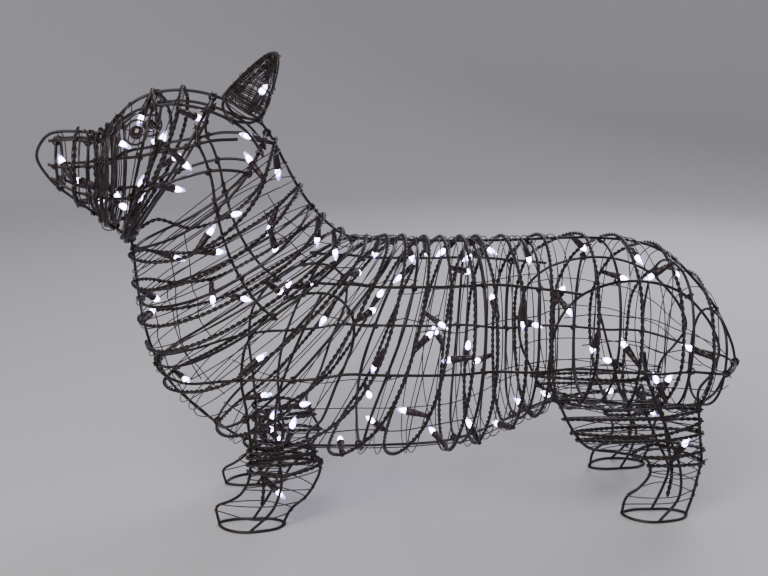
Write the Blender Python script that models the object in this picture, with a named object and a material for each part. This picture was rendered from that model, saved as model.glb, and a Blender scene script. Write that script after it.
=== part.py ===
"""A corgi made of bent wire, life size, wound with strings of small lamps.

The dog faces -X, its left side is -Y and it stands on z = 0.
The body is an open cage. Lengthwise wires lie on the dog's skin, the hoops lie just inside them,
the leg wires lie just inside the hoops, and the strings of lamps are wound round the outside.
Places on the skin are given as a station, from 0 at the nose to 27 at the tail, and an angle,
from 0 on the back over the side to 180 below.
"""

import math

import bmesh
import bpy
import numpy as np
from mathutils import Matrix, Vector

MM = 0.001

# Wires, in millimetres
FRAME_WIRE = 3.0
EYE_WIRE = 2.2
CABLE = 3.4
TOUCH = 0.3
CHORD_SLACK = 0.15

# Lamps, in millimetres
LAMP_PITCH = 156.0
LEG_LAMP_PITCH = 72.0
SOCKET_LENGTH = 23.0
SOCKET_WIDTH = 8.0
SOCKET_ROOT = 2.0
BULB_LENGTH = 12.0
BULB_WIDTH = 5.0
LAMP_LENGTH = SOCKET_LENGTH + BULB_LENGTH

# How far each layer of wire lies outside the skin, in millimetres
HOOP_LIFT = -(FRAME_WIRE + TOUCH + CHORD_SLACK)
LEG_LIFT = 2 * HOOP_LIFT - 12 * CHORD_SLACK
EAR_LIFT = FRAME_WIRE + TOUCH
EYE_LIFT = HOOP_LIFT + (FRAME_WIRE + EYE_WIRE) / 2 + TOUCH
CABLE_LIFT = (FRAME_WIRE + CABLE) / 2 + TOUCH
CABLE_SWELL = 1.3

# The skin at each station, in millimetres: x and z below, x and z above, half the width
STATIONS = (
    (-351, 353, -349, 392, 14),
    (-321, 326, -318, 396, 21),
    (-299, 309, -294, 396, 27),
    (-285, 298, -271, 419, 42),
    (-277, 291, -246, 432, 50),
    (-275, 288, -213, 435, 54),
    (-274, 286, -177, 426, 54),
    (-273, 280, -143, 405, 54),
    (-272, 262, -121, 366, 60),
    (-270, 234, -101, 330, 67),
    (-266, 203, -77, 302, 74),
    (-258, 170, -57, 289, 80),
    (-241, 136, -37, 286, 84),
    (-209, 104, -19, 285, 88),
    (-168, 74, -6, 285, 90),
    (-100, 64, 10, 284, 90),
    (-36, 62, 31, 283, 90),
    (12, 62, 52, 283, 89),
    (55, 66, 72, 283, 87),
    (93, 79, 98, 283, 84),
    (125, 94, 124, 283, 82),
    (152, 105, 151, 284, 82),
    (190, 106, 193, 284, 84),
    (229, 102, 235, 280, 85),
    (268, 98, 274, 267, 80),
    (304, 97, 311, 234, 66),
    (333, 102, 339, 197, 44),
    (350, 130, 356, 162, 16),
)
LAST = len(STATIONS) - 1
ROUNDNESS = 0.86
NOSE_TIP = (-360.0, 372.5)
NAPE = 7.0
BODY_START = 11.5
BACK_END = (360.0, 146.5)
BELLY_END = (358.8, 143.0)

# Where the wires in the middle plane start behind the head's loop, in stations past the nape
BACK_JOINT = 0.012
THROAT_JOINT = 0.02

# Lengthwise wires on each side: station and angle
SIDE_WIRES = {
    "crown_wire": ((0.2, 40), (2, 38), (4, 36), (7.6, 34)),
    "upper_cheek_wire": ((0.2, 100), (2, 76), (4, 81), (5.6, 74), (6.3, 61), (6.9, 46)),
    "lower_cheek_wire": ((0.25, 140), (2, 110), (4, 107), (5.5, 97), (6.3, 89), (6.9, 77), (7.75, 51)),
    "neck_wire": ((7.65, 81), (8.6, 84), (9.8, 85), (11.8, 84)),
    "upper_side_wire": ((11.3, 60), (13.2, 51), (15.9, 48), (18, 48), (20, 55), (21.4, 62)),
    "lower_side_wire": ((11.1, 177), (12.5, 114), (13.5, 99), (14.8, 91), (18, 92), (20.8, 104), (23, 106),
                        (24.5, 99), (27, 88)),
}

# Hoops: station on the back, on the sides and below
HEAD_HOOPS = {
    "nose_hoop": (0.4, 0.4, 0.4),
    "muzzle_hoop": (1.45, 1.45, 1.5),
    "stop_hoop": (2.6, 2.6, 2.6),
    "forehead_hoop": (4.2, 4.2, 3.9),
    "crown_hoop": (5.7, 5.9, 5.2),
}
BODY_HOOPS = {
    "collar_hoop": (7.3, 7.9, 6.9),
    "neck_hoop": (9.3, 9.8, 9.2),
    "chest_hoop": (11.2, 11.6, 11.2),
    "shoulder_hoop": (13.6, 13.6, 13.3),
    "rib_hoop": (15.1, 15.5, 15.8),
    "loin_hoop": (17.9, 18.2, 18.0),
    "flank_hoop": (20.2, 20.0, 19.8),
    "hip_hoop": (22.3, 22.3, 22.1),
    "rump_hoop": (24.3, 24.3, 24.3),
    "tail_hoop": (25.8, 25.8, 25.6),
}

# Turns of the strings of lamps: station on the back, on the left side and below
HEAD_TURNS = (
    (1.0, 1.0, 1.0),
    (1.9, 1.9, 1.9),
    (2.25, 2.25, 2.2),
    (4.05, 4.9, 3.5),
    (4.9, 5.3, 4.4),
    (7.5, 8.6, 7.4),
    (8.7, 9.25, 8.6),
    (9.7, 10.3, 9.8),
    (10.6, 11.1, 10.6),
)
BODY_TURNS = (
    (11.9, 12.6, 11.8),
    (13.1, 14.1, 13.4),
    (14.4, 15.2, 14.0),
    (15.6, 15.9, 15.3),
    (16.4, 16.9, 16.3),
    (17.4, 17.8, 17.7),
    (18.2, 18.55, 18.4),
    (19.2, 19.5, 19.4),
    (20.7, 20.4, 20.3),
    (21.8, 21.75, 21.5),
    (22.7, 22.8, 22.9),
    (23.7, 23.9, 23.5),
    (24.8, 24.9, 24.9),
)

# Feet, in millimetres: x of the foot's middle and its distance from the middle plane
FRONT_FOOT_X = -160.0
HIND_FOOT_X = 258.0
FOOT_TRACK = {"front_left": 55.0, "front_right": 57.0, "hind_left": 66.0, "hind_right": 68.0}
FOOT_LENGTH = 66.0
FOOT_WIDTH = 30.0

# The ring under a foot, from the toe over the outer side and the heel: shares of its length and width
FOOT_SHAPE = ((-0.52, -0.24), (-0.46, 0.12), (-0.20, 0.50), (0.14, 0.50), (0.42, 0.26), (0.50, -0.05),
              (0.36, -0.34), (0.0, -0.46), (-0.34, -0.44))

# Leg wires. A point is x, distance outward and z from the foot's middle, in millimetres,
# or a station and an angle on the body. The loop runs from the toe over the body to the heel.
SHOULDER_LOOP = (
    (-36, -9, 19), (-24, -6, 25), (-12, -4, 33), (-3, -2, 48), (0, 2, 66),
    (13.45, 130), (12.6, 112), (11.9, 98), (11.4, 82), (11.6, 66), (12.6, 61), (13.6, 66),
    (14.35, 80), (14.6, 98), (14.75, 118), (14.75, 138),
    (70, -2, 62), (63, 0, 43), (55, 0, 31), (39, 0, 17),
)
FRONT_OUTER = ((22, 15, 25), (30, 14, 46), (14.1, 128), (13.5, 104), (12.75, 84), (12.0, 62))
FRONT_INNER = ((14, -15, 22), (26, -15, 46), (30, -16, 66), (14.2, 150))
THIGH_LOOP = (
    (-30, -6, 20), (-18, -5, 30), (-8, -4, 44), (-14, 4, 64), (-46, 9, 76), (-80, 10, 84), (-94, 12, 100),
    (20.6, 116), (20.5, 96), (20.8, 78), (21.4, 62), (22.3, 50), (23.3, 46), (24.3, 46),
    (25.2, 54), (25.6, 74), (25.3, 98), (24.9, 118),
    (40, 4, 84), (44, 1, 62), (42, 0, 44), (38, 0, 22),
)
HIND_OUTER = ((18, 13, 26), (17, 14, 58), (4, 17, 90), (23.2, 112), (23.0, 94))
HIND_INNER = ((10, -15, 22), (16, -15, 46), (4, -16, 74), (23.25, 146))

# Leg strings cross over the belly wire at a station. Below it: x from the foot's middle,
# share of the foot's track, and z, in millimetres.
FRONT_STRING_CROSSING = 14.3
HIND_STRING_CROSSING = 23.9
FRONT_STRING_RISE = ((10, 1.0, 20), (12, 1.0, 46), (7, 0.9, 70), (5, 0.5, 90))
HIND_STRING_RISE = ((11, 1.0, 22), (14, 1.0, 46), (14, 0.75, 74), (11, 0.6, 100), (9, 0.34, 112))

# Ears and eyes: places on the skin, and sizes in millimetres
EAR_BASE = ((5.98, 14), (6.25, 34.5), (6.65, 35), (6.98, 14))
EAR_TIP = (-127.0, -48.0, 471.0)
EAR_TIP_WIDTH = 6.0
EAR_TIP_SLANT = (0, -1, -2)
EAR_BOW_PLACE = 0.47
EAR_FRONT_BOW = (-2, 0, 2)
EAR_BACK_BOW = (4, -3, 0)
EYE_PLACE = (3.85, 61)
EYE_RING = 24.0
EYE_BALL = 14.0
EYE_FLATNESS = 0.5

# How a lamp finds its room: it leans in more and more, turns about the cable, then moves along it
LAMP_LEANS = (0.6, 0.9, 1.4)
LAMP_TURNS = 10
LAMP_STRIDE = 3
LAMP_SHIFTS = (0, 8, -8, 16, -16, 24, -24, 32)
LAMP_CLEARANCE = SOCKET_WIDTH / 2 + 1.0
LAMP_PROBES = (0.0, 0.08, 0.17, 0.3, 0.45, 0.6, 0.75, 0.9, 1.0)
LAMP_DEPTH = 0.8
LEG_LAMP_SWAY = 10.0
LAMP_FLOOR = 8.0

# Fineness of the bent wires: sides, longest arcs in degrees, longest steps, straightening in millimetres
WIRE_SIDES = 4
FLAT_DOWN = 45.0
LAMP_SIDES = 4
HEAD_ARC = 36.0
BODY_ARC = 28.0
CABLE_ARC = 30.0
EYE_RING_ARC = 36
EYE_BALL_SIDES = 8
EYE_BALL_RINGS = 5
LEG_STEP = 24.0
STRAIGHTENING = 0.2
LEG_STRAIGHTENING = 0.5

# The longest steps along the lengthwise wires, in stations
MIDDLE_STEP = 1.0
CROWN_STEP = 0.6
SIDE_STEP = 0.7

FRAME_BROWN = (0.020, 0.013, 0.010, 1)
CABLE_BROWN = (0.028, 0.016, 0.012, 1)
EYE_BROWN = (0.040, 0.012, 0.008, 1)

ALL_HOOPS = (*HEAD_HOOPS.values(), *BODY_HOOPS.values())
LAID = []


def material(name, colour, roughness):
    made = bpy.data.materials.new(name)
    made.use_nodes = True
    shader = made.node_tree.nodes["Principled BSDF"]
    shader.inputs["Base Color"].default_value = colour
    shader.inputs["Roughness"].default_value = roughness
    return made


def station(s):
    """The skin's row at station s, on a smooth curve through STATIONS, in metres."""
    s = min(max(s, 0.0), float(LAST))
    low = min(int(s), LAST - 1)
    t = s - low
    before, here, there, after = (
        np.array(STATIONS[min(max(i, 0), LAST)], float) * MM for i in range(low - 1, low + 3)
    )
    return 0.5 * (
        2 * here
        + (there - before) * t
        + (2 * before - 5 * here + 4 * there - after) * t**2
        + (3 * here - before - 3 * there + after) * t**3
    )


def middle_of(s):
    """The middle of the cage at station s."""
    low_x, low_z, high_x, high_z, _ = station(s)
    return Vector(((low_x + high_x) / 2, 0, (low_z + high_z) / 2))


def bare_skin(s, angle):
    """A point of the skin's own surface, an oval round each station's middle."""
    low_x, low_z, high_x, high_z, half = station(s)
    up = math.cos(math.radians(angle))
    out = math.sin(math.radians(angle))
    up = math.copysign(abs(up) ** ROUNDNESS, up)
    out = math.copysign(abs(out) ** ROUNDNESS, out)
    return Vector((
        (low_x + high_x) / 2 + (high_x - low_x) / 2 * up,
        -half * out,
        (low_z + high_z) / 2 + (high_z - low_z) / 2 * up,
    ))


def skin(s, angle, lift=0.0):
    """The point this far outside the skin, square to it, on the left side. The lift is in millimetres."""
    point = bare_skin(s, angle)
    along = bare_skin(min(s + 0.02, LAST), angle) - bare_skin(max(s - 0.02, 0), angle)
    across = bare_skin(s, angle + 1) - bare_skin(s, angle - 1)
    normal = across.cross(along).normalized()
    if normal.dot(point - middle_of(s)) < 0:
        normal.negate()
    return point + normal * lift * MM


def smooth(knots, x):
    """y at x on a smooth curve through the knots (x, y), without overshoot between them."""
    x = min(max(x, knots[0][0]), knots[-1][0])
    slopes = [(b[1] - a[1]) / (b[0] - a[0]) for a, b in zip(knots, knots[1:])]
    bends = [0.0 if a * b <= 0 else 2 * a * b / (a + b) for a, b in zip(slopes, slopes[1:])]
    bends = [slopes[0], *bends, slopes[-1]]
    i = next(i for i, knot in enumerate(knots[1:]) if x <= knot[0])
    (x0, y0), (x1, y1) = knots[i], knots[i + 1]
    t = (x - x0) / (x1 - x0)
    return (
        (2 * t**3 - 3 * t**2 + 1) * y0
        + (t**3 - 2 * t**2 + t) * (x1 - x0) * bends[i]
        + (3 * t**2 - 2 * t**3) * y1
        + (t**3 - t**2) * (x1 - x0) * bends[i + 1]
    )


def spline_through(points, step):
    """Points at about this step, in millimetres, on a smooth curve through the given ones."""
    made = []
    for i, (a, b) in enumerate(zip(points, points[1:])):
        before = points[i - 1] if i else a * 2 - b
        after = points[i + 2] if i + 2 < len(points) else b * 2 - a
        count = max(1, round((b - a).length / (step * MM)))
        for t in (k / count for k in range(count)):
            made.append(0.5 * (
                a * 2
                + (b - before) * t
                + (before * 2 - a * 5 + b * 4 - after) * t**2
                + (a * 3 - before - b * 3 + after) * t**3
            ))
    return made + [points[-1]]


def straightened(points, slack):
    """These points without the ones that lie within slack, in millimetres, of a straight line past them."""
    if len(points) < 3:
        return points
    a, b = points[0], points[-1]
    run = (b - a).normalized()
    off = [(p - a - run * run.dot(p - a)).length for p in points]
    worst = max(range(len(points)), key=off.__getitem__)
    if off[worst] < slack * MM:
        return [a, b]
    return straightened(points[:worst + 1], slack)[:-1] + straightened(points[worst:], slack)


def filled(kept, step):
    """These values in order, with even ones between them so that none are further apart than step."""
    kept = sorted(set(kept))
    made = []
    for a, b in zip(kept, kept[1:]):
        count = max(1, math.ceil((b - a) / step - 0.01))
        made += [a + (b - a) * i / count for i in range(count)]
    return made + [kept[-1]]


def mirrored(points):
    return [Vector((p.x, -p.y, p.z)) for p in points]


def turn_station(turn, angle):
    """The station of a hoop or a turn of string at this angle."""
    back, side, below = turn
    flat = math.cos(math.radians(angle))
    return side + (back - side) * max(flat, 0) ** 2 + (below - side) * min(flat, 0) ** 2


def crossing(turn, knots):
    """The station and angle at which a hoop or a turn of string meets a lengthwise wire, or None."""
    angle = 90.0
    for _ in range(8):
        angle = smooth(knots, turn_station(turn, angle))
    s = turn_station(turn, angle)
    return (s, angle) if knots[0][0] < s < knots[-1][0] else None


def crossed_angles(turn):
    """The angles at which a hoop or a turn of string meets the lengthwise wires."""
    met = [crossing(turn, knots) for knots in SIDE_WIRES.values()]
    return [0.0] + sorted(m[1] for m in met if m) + [180.0]


def right_turns(turns):
    """How a string comes up the right side from below each turn to the back of the next.
    On the body it mirrors the left side, and on the head it moves on to the next turn at once."""
    return [
        (onward[0], (turn if turn[0] > BODY_START else onward)[1], turn[2])
        for turn, onward in zip(turns, turns[1:])
    ]


def wire(name, points, diameter, look, closed=False, tilt=0.0):
    """A wire as a curve object with filled ends."""
    curve = bpy.data.curves.new(name, "CURVE")
    curve.dimensions = "3D"
    curve.twist_mode = "Z_UP" if tilt else "MINIMUM"
    curve.bevel_depth = diameter / 2 * MM
    curve.bevel_resolution = (WIRE_SIDES - 4) // 2
    curve.use_fill_caps = not closed
    spline = curve.splines.new("POLY")
    spline.points.add(len(points) - 1)
    for knot, point in zip(spline.points, points):
        knot.co = (*point, 1)
        knot.tilt = math.radians(tilt)
    spline.use_cyclic_u = closed
    curve.materials.append(look)
    made = bpy.data.objects.new(name, curve)
    DOG.objects.link(made)
    LAID.append((name, points + points[:1] if closed else points, diameter / 2 * MM))
    return made


def as_mesh(thing):
    """The object as a plain mesh with welded ends, under the same name."""
    bpy.context.view_layer.update()
    evaluated = thing.evaluated_get(bpy.context.evaluated_depsgraph_get())
    mesh = bpy.data.meshes.new_from_object(evaluated)
    work = bmesh.new()
    work.from_mesh(mesh)
    bmesh.ops.remove_doubles(work, verts=work.verts, dist=1e-6)
    bmesh.ops.recalc_face_normals(work, faces=work.faces)
    work.to_mesh(mesh)
    work.free()
    name, place = thing.name, thing.matrix_world.copy()
    bpy.data.objects.remove(thing)
    made = bpy.data.objects.new(name, mesh)
    made.matrix_world = place
    DOG.objects.link(made)
    return made


def fused(name, things):
    """One solid of these, as wires welded together are."""
    first, *others = [as_mesh(thing) for thing in things]
    for other in others:
        weld = first.modifiers.new("weld", "BOOLEAN")
        weld.operation = "UNION"
        weld.object = other
    made = as_mesh(first)
    for other in others:
        bpy.data.objects.remove(other)
    made.name = name
    return made


def middle_wires(look):
    """The wires in the middle plane: a loop round the head, one along the back, one down chest and belly."""
    turns = (*ALL_HOOPS, *HEAD_TURNS, *BODY_TURNS)
    above = {turn[0] for turn in turns}
    below = {turn[2] for turn in turns} | {FRONT_STRING_CROSSING, HIND_STRING_CROSSING}
    jaw = filled({0.0, NAPE} | {s for s in below if s < NAPE}, MIDDLE_STEP)
    crown = filled({0.0, NAPE} | {s for s in above if s < NAPE}, CROWN_STEP)
    loop = straightened([skin(s, 180) for s in reversed(jaw)], STRAIGHTENING)
    loop.append(Vector((NOSE_TIP[0], 0, NOSE_TIP[1])) * MM)
    loop += straightened([skin(s, 0) for s in crown], STRAIGHTENING)
    wire("head_profile_wire", loop, FRAME_WIRE, look)
    for name, angle, met, start, end in (
        ("back_wire", 0, above, NAPE + BACK_JOINT, BACK_END),
        ("chest_and_belly_wire", 180, below, NAPE + THROAT_JOINT, BELLY_END),
    ):
        steps = filled({start, float(LAST)} | {s for s in met if s > start}, MIDDLE_STEP)
        points = [skin(s, angle) for s in steps] + [Vector((end[0], 0, end[1])) * MM]
        wire(name, straightened(points, STRAIGHTENING), FRAME_WIRE, look)


def side_wires(look):
    """The lengthwise wires, one on each side. The lower ones meet the others at the tail."""
    turns_met = {
        "left": (*HEAD_TURNS, *BODY_TURNS),
        "right": (*right_turns(HEAD_TURNS), *right_turns(BODY_TURNS)),
    }
    tail = Vector((BELLY_END[0], -(FRAME_WIRE + 2 * TOUCH), (BACK_END[1] + BELLY_END[1]) / 2)) * MM
    for name, knots in SIDE_WIRES.items():
        for side, turns in turns_met.items():
            met = [crossing(turn, knots) for turn in (*ALL_HOOPS, *turns)]
            steps = filled({knots[0][0], knots[-1][0]} | {m[0] for m in met if m}, SIDE_STEP)
            points = straightened([skin(s, smooth(knots, s)) for s in steps], STRAIGHTENING)
            if knots[-1][0] == LAST:
                points.append(tail)
            wire(f"{name}_{side}", points if side == "left" else mirrored(points), FRAME_WIRE, look)


def hoops(look):
    """The hoops, each just inside the lengthwise wires."""
    for group, arc in ((HEAD_HOOPS, HEAD_ARC), (BODY_HOOPS, BODY_ARC)):
        for name, turn in group.items():
            angles = filled(crossed_angles(turn), arc)
            left = [skin(turn_station(turn, a), a, HOOP_LIFT) for a in angles]
            wire(name, left + mirrored(left[1:-1])[::-1], FRAME_WIRE, look, closed=True)


def leg(name, foot_x, track, out, loop, outer, inner, look):
    """A leg welded of four wires: a ring under the foot, a loop from its toe over the body to its heel,
    an outer upright and an inner one."""
    foot = Vector((foot_x, out * track, 0)) * MM

    def place(point):
        if len(point) == 2:
            spot = skin(*point, LEG_LIFT)
            return Vector((spot.x, -out * spot.y, spot.z))
        return foot + Vector((point[0], out * point[1], point[2])) * MM

    height = FRAME_WIRE / 2 * math.cos(math.radians(FLAT_DOWN))
    ring = [place((x * FOOT_LENGTH, y * FOOT_WIDTH, height)) for x, y in FOOT_SHAPE]
    toe, _, outer_front, outer_back, outer_heel, inner_heel, _, inner_side, _ = ring
    wires = [wire(name + "_ring", ring, FRAME_WIRE, look, closed=True, tilt=FLAT_DOWN)]
    for part, route in (
        ("loop", [toe, *map(place, loop), (outer_heel + inner_heel) / 2]),
        ("outer", [(outer_front + outer_back) / 2, *map(place, outer)]),
        ("inner", [inner_side, *map(place, inner)]),
    ):
        route = straightened(spline_through(route, LEG_STEP), LEG_STRAIGHTENING)
        wires.append(wire(f"{name}_{part}", route, FRAME_WIRE, look))
    return fused(name, wires)


def legs(look):
    front = (SHOULDER_LOOP, FRONT_OUTER, FRONT_INNER)
    hind = (THIGH_LOOP, HIND_OUTER, HIND_INNER)
    for name, track in FOOT_TRACK.items():
        foot_x, shape = (FRONT_FOOT_X, front) if name.startswith("front") else (HIND_FOOT_X, hind)
        leg(name + "_leg", foot_x, track, -1 if name.endswith("left") else 1, *shape, look)


def ears(look):
    """Each ear is one bent wire that stands on the crown wire and leans back to a narrow tip."""
    base = [skin(s, angle, EAR_LIFT) for s, angle in EAR_BASE]
    tip = Vector(EAR_TIP) * MM
    half_tip = Vector((EAR_TIP_WIDTH / 2, 0, 0)) * MM
    front_tip, back_tip = tip - half_tip, tip + half_tip + Vector(EAR_TIP_SLANT) * MM
    front_edge = base[0].lerp(front_tip, EAR_BOW_PLACE) + Vector(EAR_FRONT_BOW) * MM
    back_edge = base[-1].lerp(back_tip, EAR_BOW_PLACE) + Vector(EAR_BACK_BOW) * MM
    loop = [*base[::-1], front_edge, front_tip, back_tip, back_edge]
    wire("ear_left", loop, FRAME_WIRE, look, closed=True)
    wire("ear_right", mirrored(loop), FRAME_WIRE, look, closed=True)


def eyes(look, eye_look):
    """Each eye is a round button in a wire ring. The ring and the button lie on the forehead hoop."""
    s, angle = EYE_PLACE
    middle = skin(s, angle, EYE_LIFT)
    out = (skin(s, angle, EYE_LIFT + 1) - middle).normalized()
    ahead = (skin(s - 0.1, angle, EYE_LIFT) - middle).normalized()
    up = ahead.cross(out).normalized()
    turns = [math.radians(angle) for angle in range(0, 360, EYE_RING_ARC)]
    ring = [middle + (ahead * math.cos(t) + up * math.sin(t)) * EYE_RING / 2 * MM for t in turns]
    for side, flip in (("left", 1), ("right", -1)):
        wire("eye_ring_" + side, ring if flip == 1 else mirrored(ring), EYE_WIRE, look, closed=True)
        bpy.ops.mesh.primitive_uv_sphere_add(
            segments=EYE_BALL_SIDES, ring_count=EYE_BALL_RINGS, radius=EYE_BALL / 2 * MM,
        )
        ball = bpy.context.object
        ball.name = "eye_" + side
        ball.data.transform(Matrix.Diagonal((1, 1, EYE_FLATNESS, 1)))
        ball.data.materials.append(eye_look)
        ball.rotation_mode = "QUATERNION"
        ball.location = (middle.x, flip * middle.y, middle.z)
        ball.rotation_quaternion = Vector((out.x, flip * out.y, out.z)).to_track_quat("Z", "Y")
        for owner in list(ball.users_collection):
            owner.objects.unlink(ball)
        DOG.objects.link(ball)


def wound_string(turns):
    """A string wound round the cage: its points, each with the middle of the cage there."""
    route = []
    for i, left in enumerate(turns):
        ends_here = i + 1 == len(turns)
        for turn, side in ((left, 1),) if ends_here else ((left, 1), (right_turns(turns)[i], -1)):
            met = crossed_angles(turn)
            angles = filled(met, CABLE_ARC)
            angles = angles if ends_here else angles[:-1] if side == 1 else angles[:0:-1]
            for angle in angles:
                s = turn_station(turn, angle)
                spot = skin(s, angle, CABLE_LIFT if angle in met else CABLE_LIFT + CABLE_SWELL)
                route.append((Vector((spot.x, side * spot.y, spot.z)), middle_of(s)))
    return route


def leg_string(feet, foot_x, crossing_station, rise):
    """A string up inside one leg, over the belly wire and down inside the other."""
    left, right = (
        [Vector((foot_x + ahead, out * FOOT_TRACK[foot] * share, z)) * MM for ahead, share, z in rise]
        for foot, out in zip(feet, (-1, 1))
    )
    points = [*left, skin(crossing_station, 180, -CABLE_LIFT), *right[::-1]]
    return [(point, point + Vector((1, 0, 0))) for point in points]


def on_route(route, distance):
    """The point this far along the route, the route's direction and the middle of the cage there."""
    for (a, a_middle), (b, b_middle) in zip(route, route[1:]):
        length = (b - a).length
        if distance <= length:
            t = distance / length
            return a.lerp(b, t), (b - a).normalized(), a_middle.lerp(b_middle, t)
        distance -= length
    return b, (b - a).normalized(), b_middle


def clearance(base, tip, own):
    """The least room between the line from base to tip and any wire or lamp laid so far but its own."""
    probes = np.array([base.lerp(tip, t) for t in LAMP_PROBES])
    least = math.inf
    for name, points, radius in LAID:
        if name == own:
            continue
        line = np.array(points)
        start, run = line[:-1], np.diff(line, axis=0)
        t = ((probes[:, None] - start) * run).sum(2) / (run * run).sum(1)
        near = start + run * np.clip(t, 0, 1)[..., None]
        least = min(least, float(np.linalg.norm(probes[:, None] - near, axis=2).min()) - radius)
    return least


def inside_body(point):
    """Whether the point lies well inside the cage, in one of the skin's sections that it lies close to."""
    low_x, low_z, high_x, high_z, half = SECTIONS.T
    axis_x, axis_z = (high_x - low_x) / 2, (high_z - low_z) / 2
    away_x, away_z = point.x - (low_x + high_x) / 2, point.z - (low_z + high_z) / 2
    length = np.hypot(axis_x, axis_z)
    aside = np.abs(away_x * axis_z - away_z * axis_x) / length
    share = ((away_x * axis_x + away_z * axis_z) / length**2) ** 2 + (point.y / half) ** 2
    return bool((share[aside < 6 * MM] < LAMP_DEPTH).any())


def inside_leg(point, base):
    """Whether the point lies between the leg's wires, above the ground."""
    return abs(point.y - base.y) < LEG_LAMP_SWAY * MM and point.z > LAMP_FLOOR * MM


def lamp_way(base, run, middle, count, own):
    """The way a lamp leans into the cage or the leg from this spot, clear of everything, or None."""
    inward = middle - base
    inward = (inward - run * inward.dot(run)).normalized()
    across = inward.cross(run)
    for lean in LAMP_LEANS:
        for k in range(LAMP_TURNS):
            turn = 2 * math.pi * (k + count * LAMP_STRIDE) / LAMP_TURNS
            way = (inward * lean + run * math.cos(turn) + across * math.sin(turn)).normalized()
            tip = base + way * LAMP_LENGTH * MM
            held = inside_leg(tip, base) if own.endswith("legs") else inside_body(tip)
            if held and clearance(base, tip, own) > LAMP_CLEARANCE * MM:
                return way
    return None


def lamps_on(route, own, pitch):
    """Base and direction of each lamp on this string. One without room moves along, or is left out."""
    whole = sum((b[0] - a[0]).length for a, b in zip(route, route[1:])) / MM
    found = []
    for count in range(int(whole / pitch)):
        for shift in LAMP_SHIFTS:
            base, run, middle = on_route(route, ((count + 0.5) * pitch + shift) * MM)
            way = lamp_way(base, run, middle, count, own)
            if way:
                found.append((base, way))
                tip = base + way * LAMP_LENGTH * MM
                LAID.append(("lamp", [base.lerp(tip, 0.2), tip], SOCKET_WIDTH / 2 * MM))
                break
    return found


def add_lamp(work, base, way):
    """A socket that widens from the cable, with a pointed bulb in its mouth."""
    turn = way.to_track_quat("Z", "Y")
    rings = []
    for height, width in ((0.0, SOCKET_ROOT), (SOCKET_LENGTH, SOCKET_WIDTH), (SOCKET_LENGTH, BULB_WIDTH)):
        angles = [2 * math.pi * i / LAMP_SIDES for i in range(LAMP_SIDES)]
        spots = [Vector((math.cos(a) * width / 2, math.sin(a) * width / 2, height)) * MM for a in angles]
        rings.append([work.verts.new(base + turn @ spot) for spot in spots])
    point = work.verts.new(base + way * LAMP_LENGTH * MM)
    work.faces.new(rings[0][::-1])
    for i in range(LAMP_SIDES):
        k = (i + 1) % LAMP_SIDES
        for lower, upper in zip(rings, rings[1:]):
            work.faces.new((lower[i], lower[k], upper[k], upper[i]))
        work.faces.new((rings[-1][i], rings[-1][k], point))


def strings(look):
    """The strings of lamps: two wound round the cage and one in each pair of legs."""
    front, hind = ("front_left", "front_right"), ("hind_left", "hind_right")
    routes = {
        "light_string_body": wound_string(BODY_TURNS),
        "light_string_head_and_neck": wound_string(HEAD_TURNS),
        "light_string_front_legs": leg_string(front, FRONT_FOOT_X, FRONT_STRING_CROSSING, FRONT_STRING_RISE),
        "light_string_hind_legs": leg_string(hind, HIND_FOOT_X, HIND_STRING_CROSSING, HIND_STRING_RISE),
    }
    cables = {name: wire(name, [p for p, _ in route], CABLE, look) for name, route in routes.items()}
    for name, route in routes.items():
        work = bmesh.new()
        for base, way in lamps_on(route, name, LEG_LAMP_PITCH if name.endswith("legs") else LAMP_PITCH):
            add_lamp(work, base, way)
        mesh = bpy.data.meshes.new(name + "_lamps")
        work.to_mesh(mesh)
        work.free()
        mesh.materials.append(look)
        lamps = bpy.data.objects.new(mesh.name, mesh)
        DOG.objects.link(lamps)
        fused(name, [cables[name], lamps])


for old in list(bpy.data.objects):
    bpy.data.objects.remove(old)
DOG = bpy.data.collections.new("dog_topiary_frame")
bpy.context.scene.collection.children.link(DOG)
SECTIONS = np.array([station(i / 8) for i in range(8 * LAST + 1)])

frame_look = material("brown_coated_wire", FRAME_BROWN, 0.42)
middle_wires(frame_look)
side_wires(frame_look)
hoops(frame_look)
legs(frame_look)
ears(frame_look)
eyes(frame_look, material("brown_eye_button", EYE_BROWN, 0.2))
strings(material("brown_cable", CABLE_BROWN, 0.5))
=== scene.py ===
"""A life-size corgi of bent wire wound with mini lights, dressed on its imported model.

The dog faces -X, its left side is -Y and it stands on z = 0, all in metres.
"""

import math
import random

import bmesh
import bpy
import numpy as np
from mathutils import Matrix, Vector


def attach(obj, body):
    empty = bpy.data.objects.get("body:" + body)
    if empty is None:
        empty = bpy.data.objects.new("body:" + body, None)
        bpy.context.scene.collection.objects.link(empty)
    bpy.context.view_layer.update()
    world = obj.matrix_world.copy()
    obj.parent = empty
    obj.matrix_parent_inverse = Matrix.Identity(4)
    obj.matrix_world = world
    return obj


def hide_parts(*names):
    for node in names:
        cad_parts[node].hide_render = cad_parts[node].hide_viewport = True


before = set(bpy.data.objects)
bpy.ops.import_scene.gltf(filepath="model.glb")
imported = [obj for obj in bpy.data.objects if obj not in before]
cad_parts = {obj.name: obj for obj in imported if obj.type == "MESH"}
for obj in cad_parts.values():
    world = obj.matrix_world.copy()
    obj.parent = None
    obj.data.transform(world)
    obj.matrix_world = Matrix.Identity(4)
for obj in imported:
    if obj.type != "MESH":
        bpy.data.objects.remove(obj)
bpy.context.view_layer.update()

MM = 0.001

# Camera: it stands a metre off the dog's left shoulder and looks slightly down along the whole dog.
# Lengths in the picture are in pixels of an image 768 wide.

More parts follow.
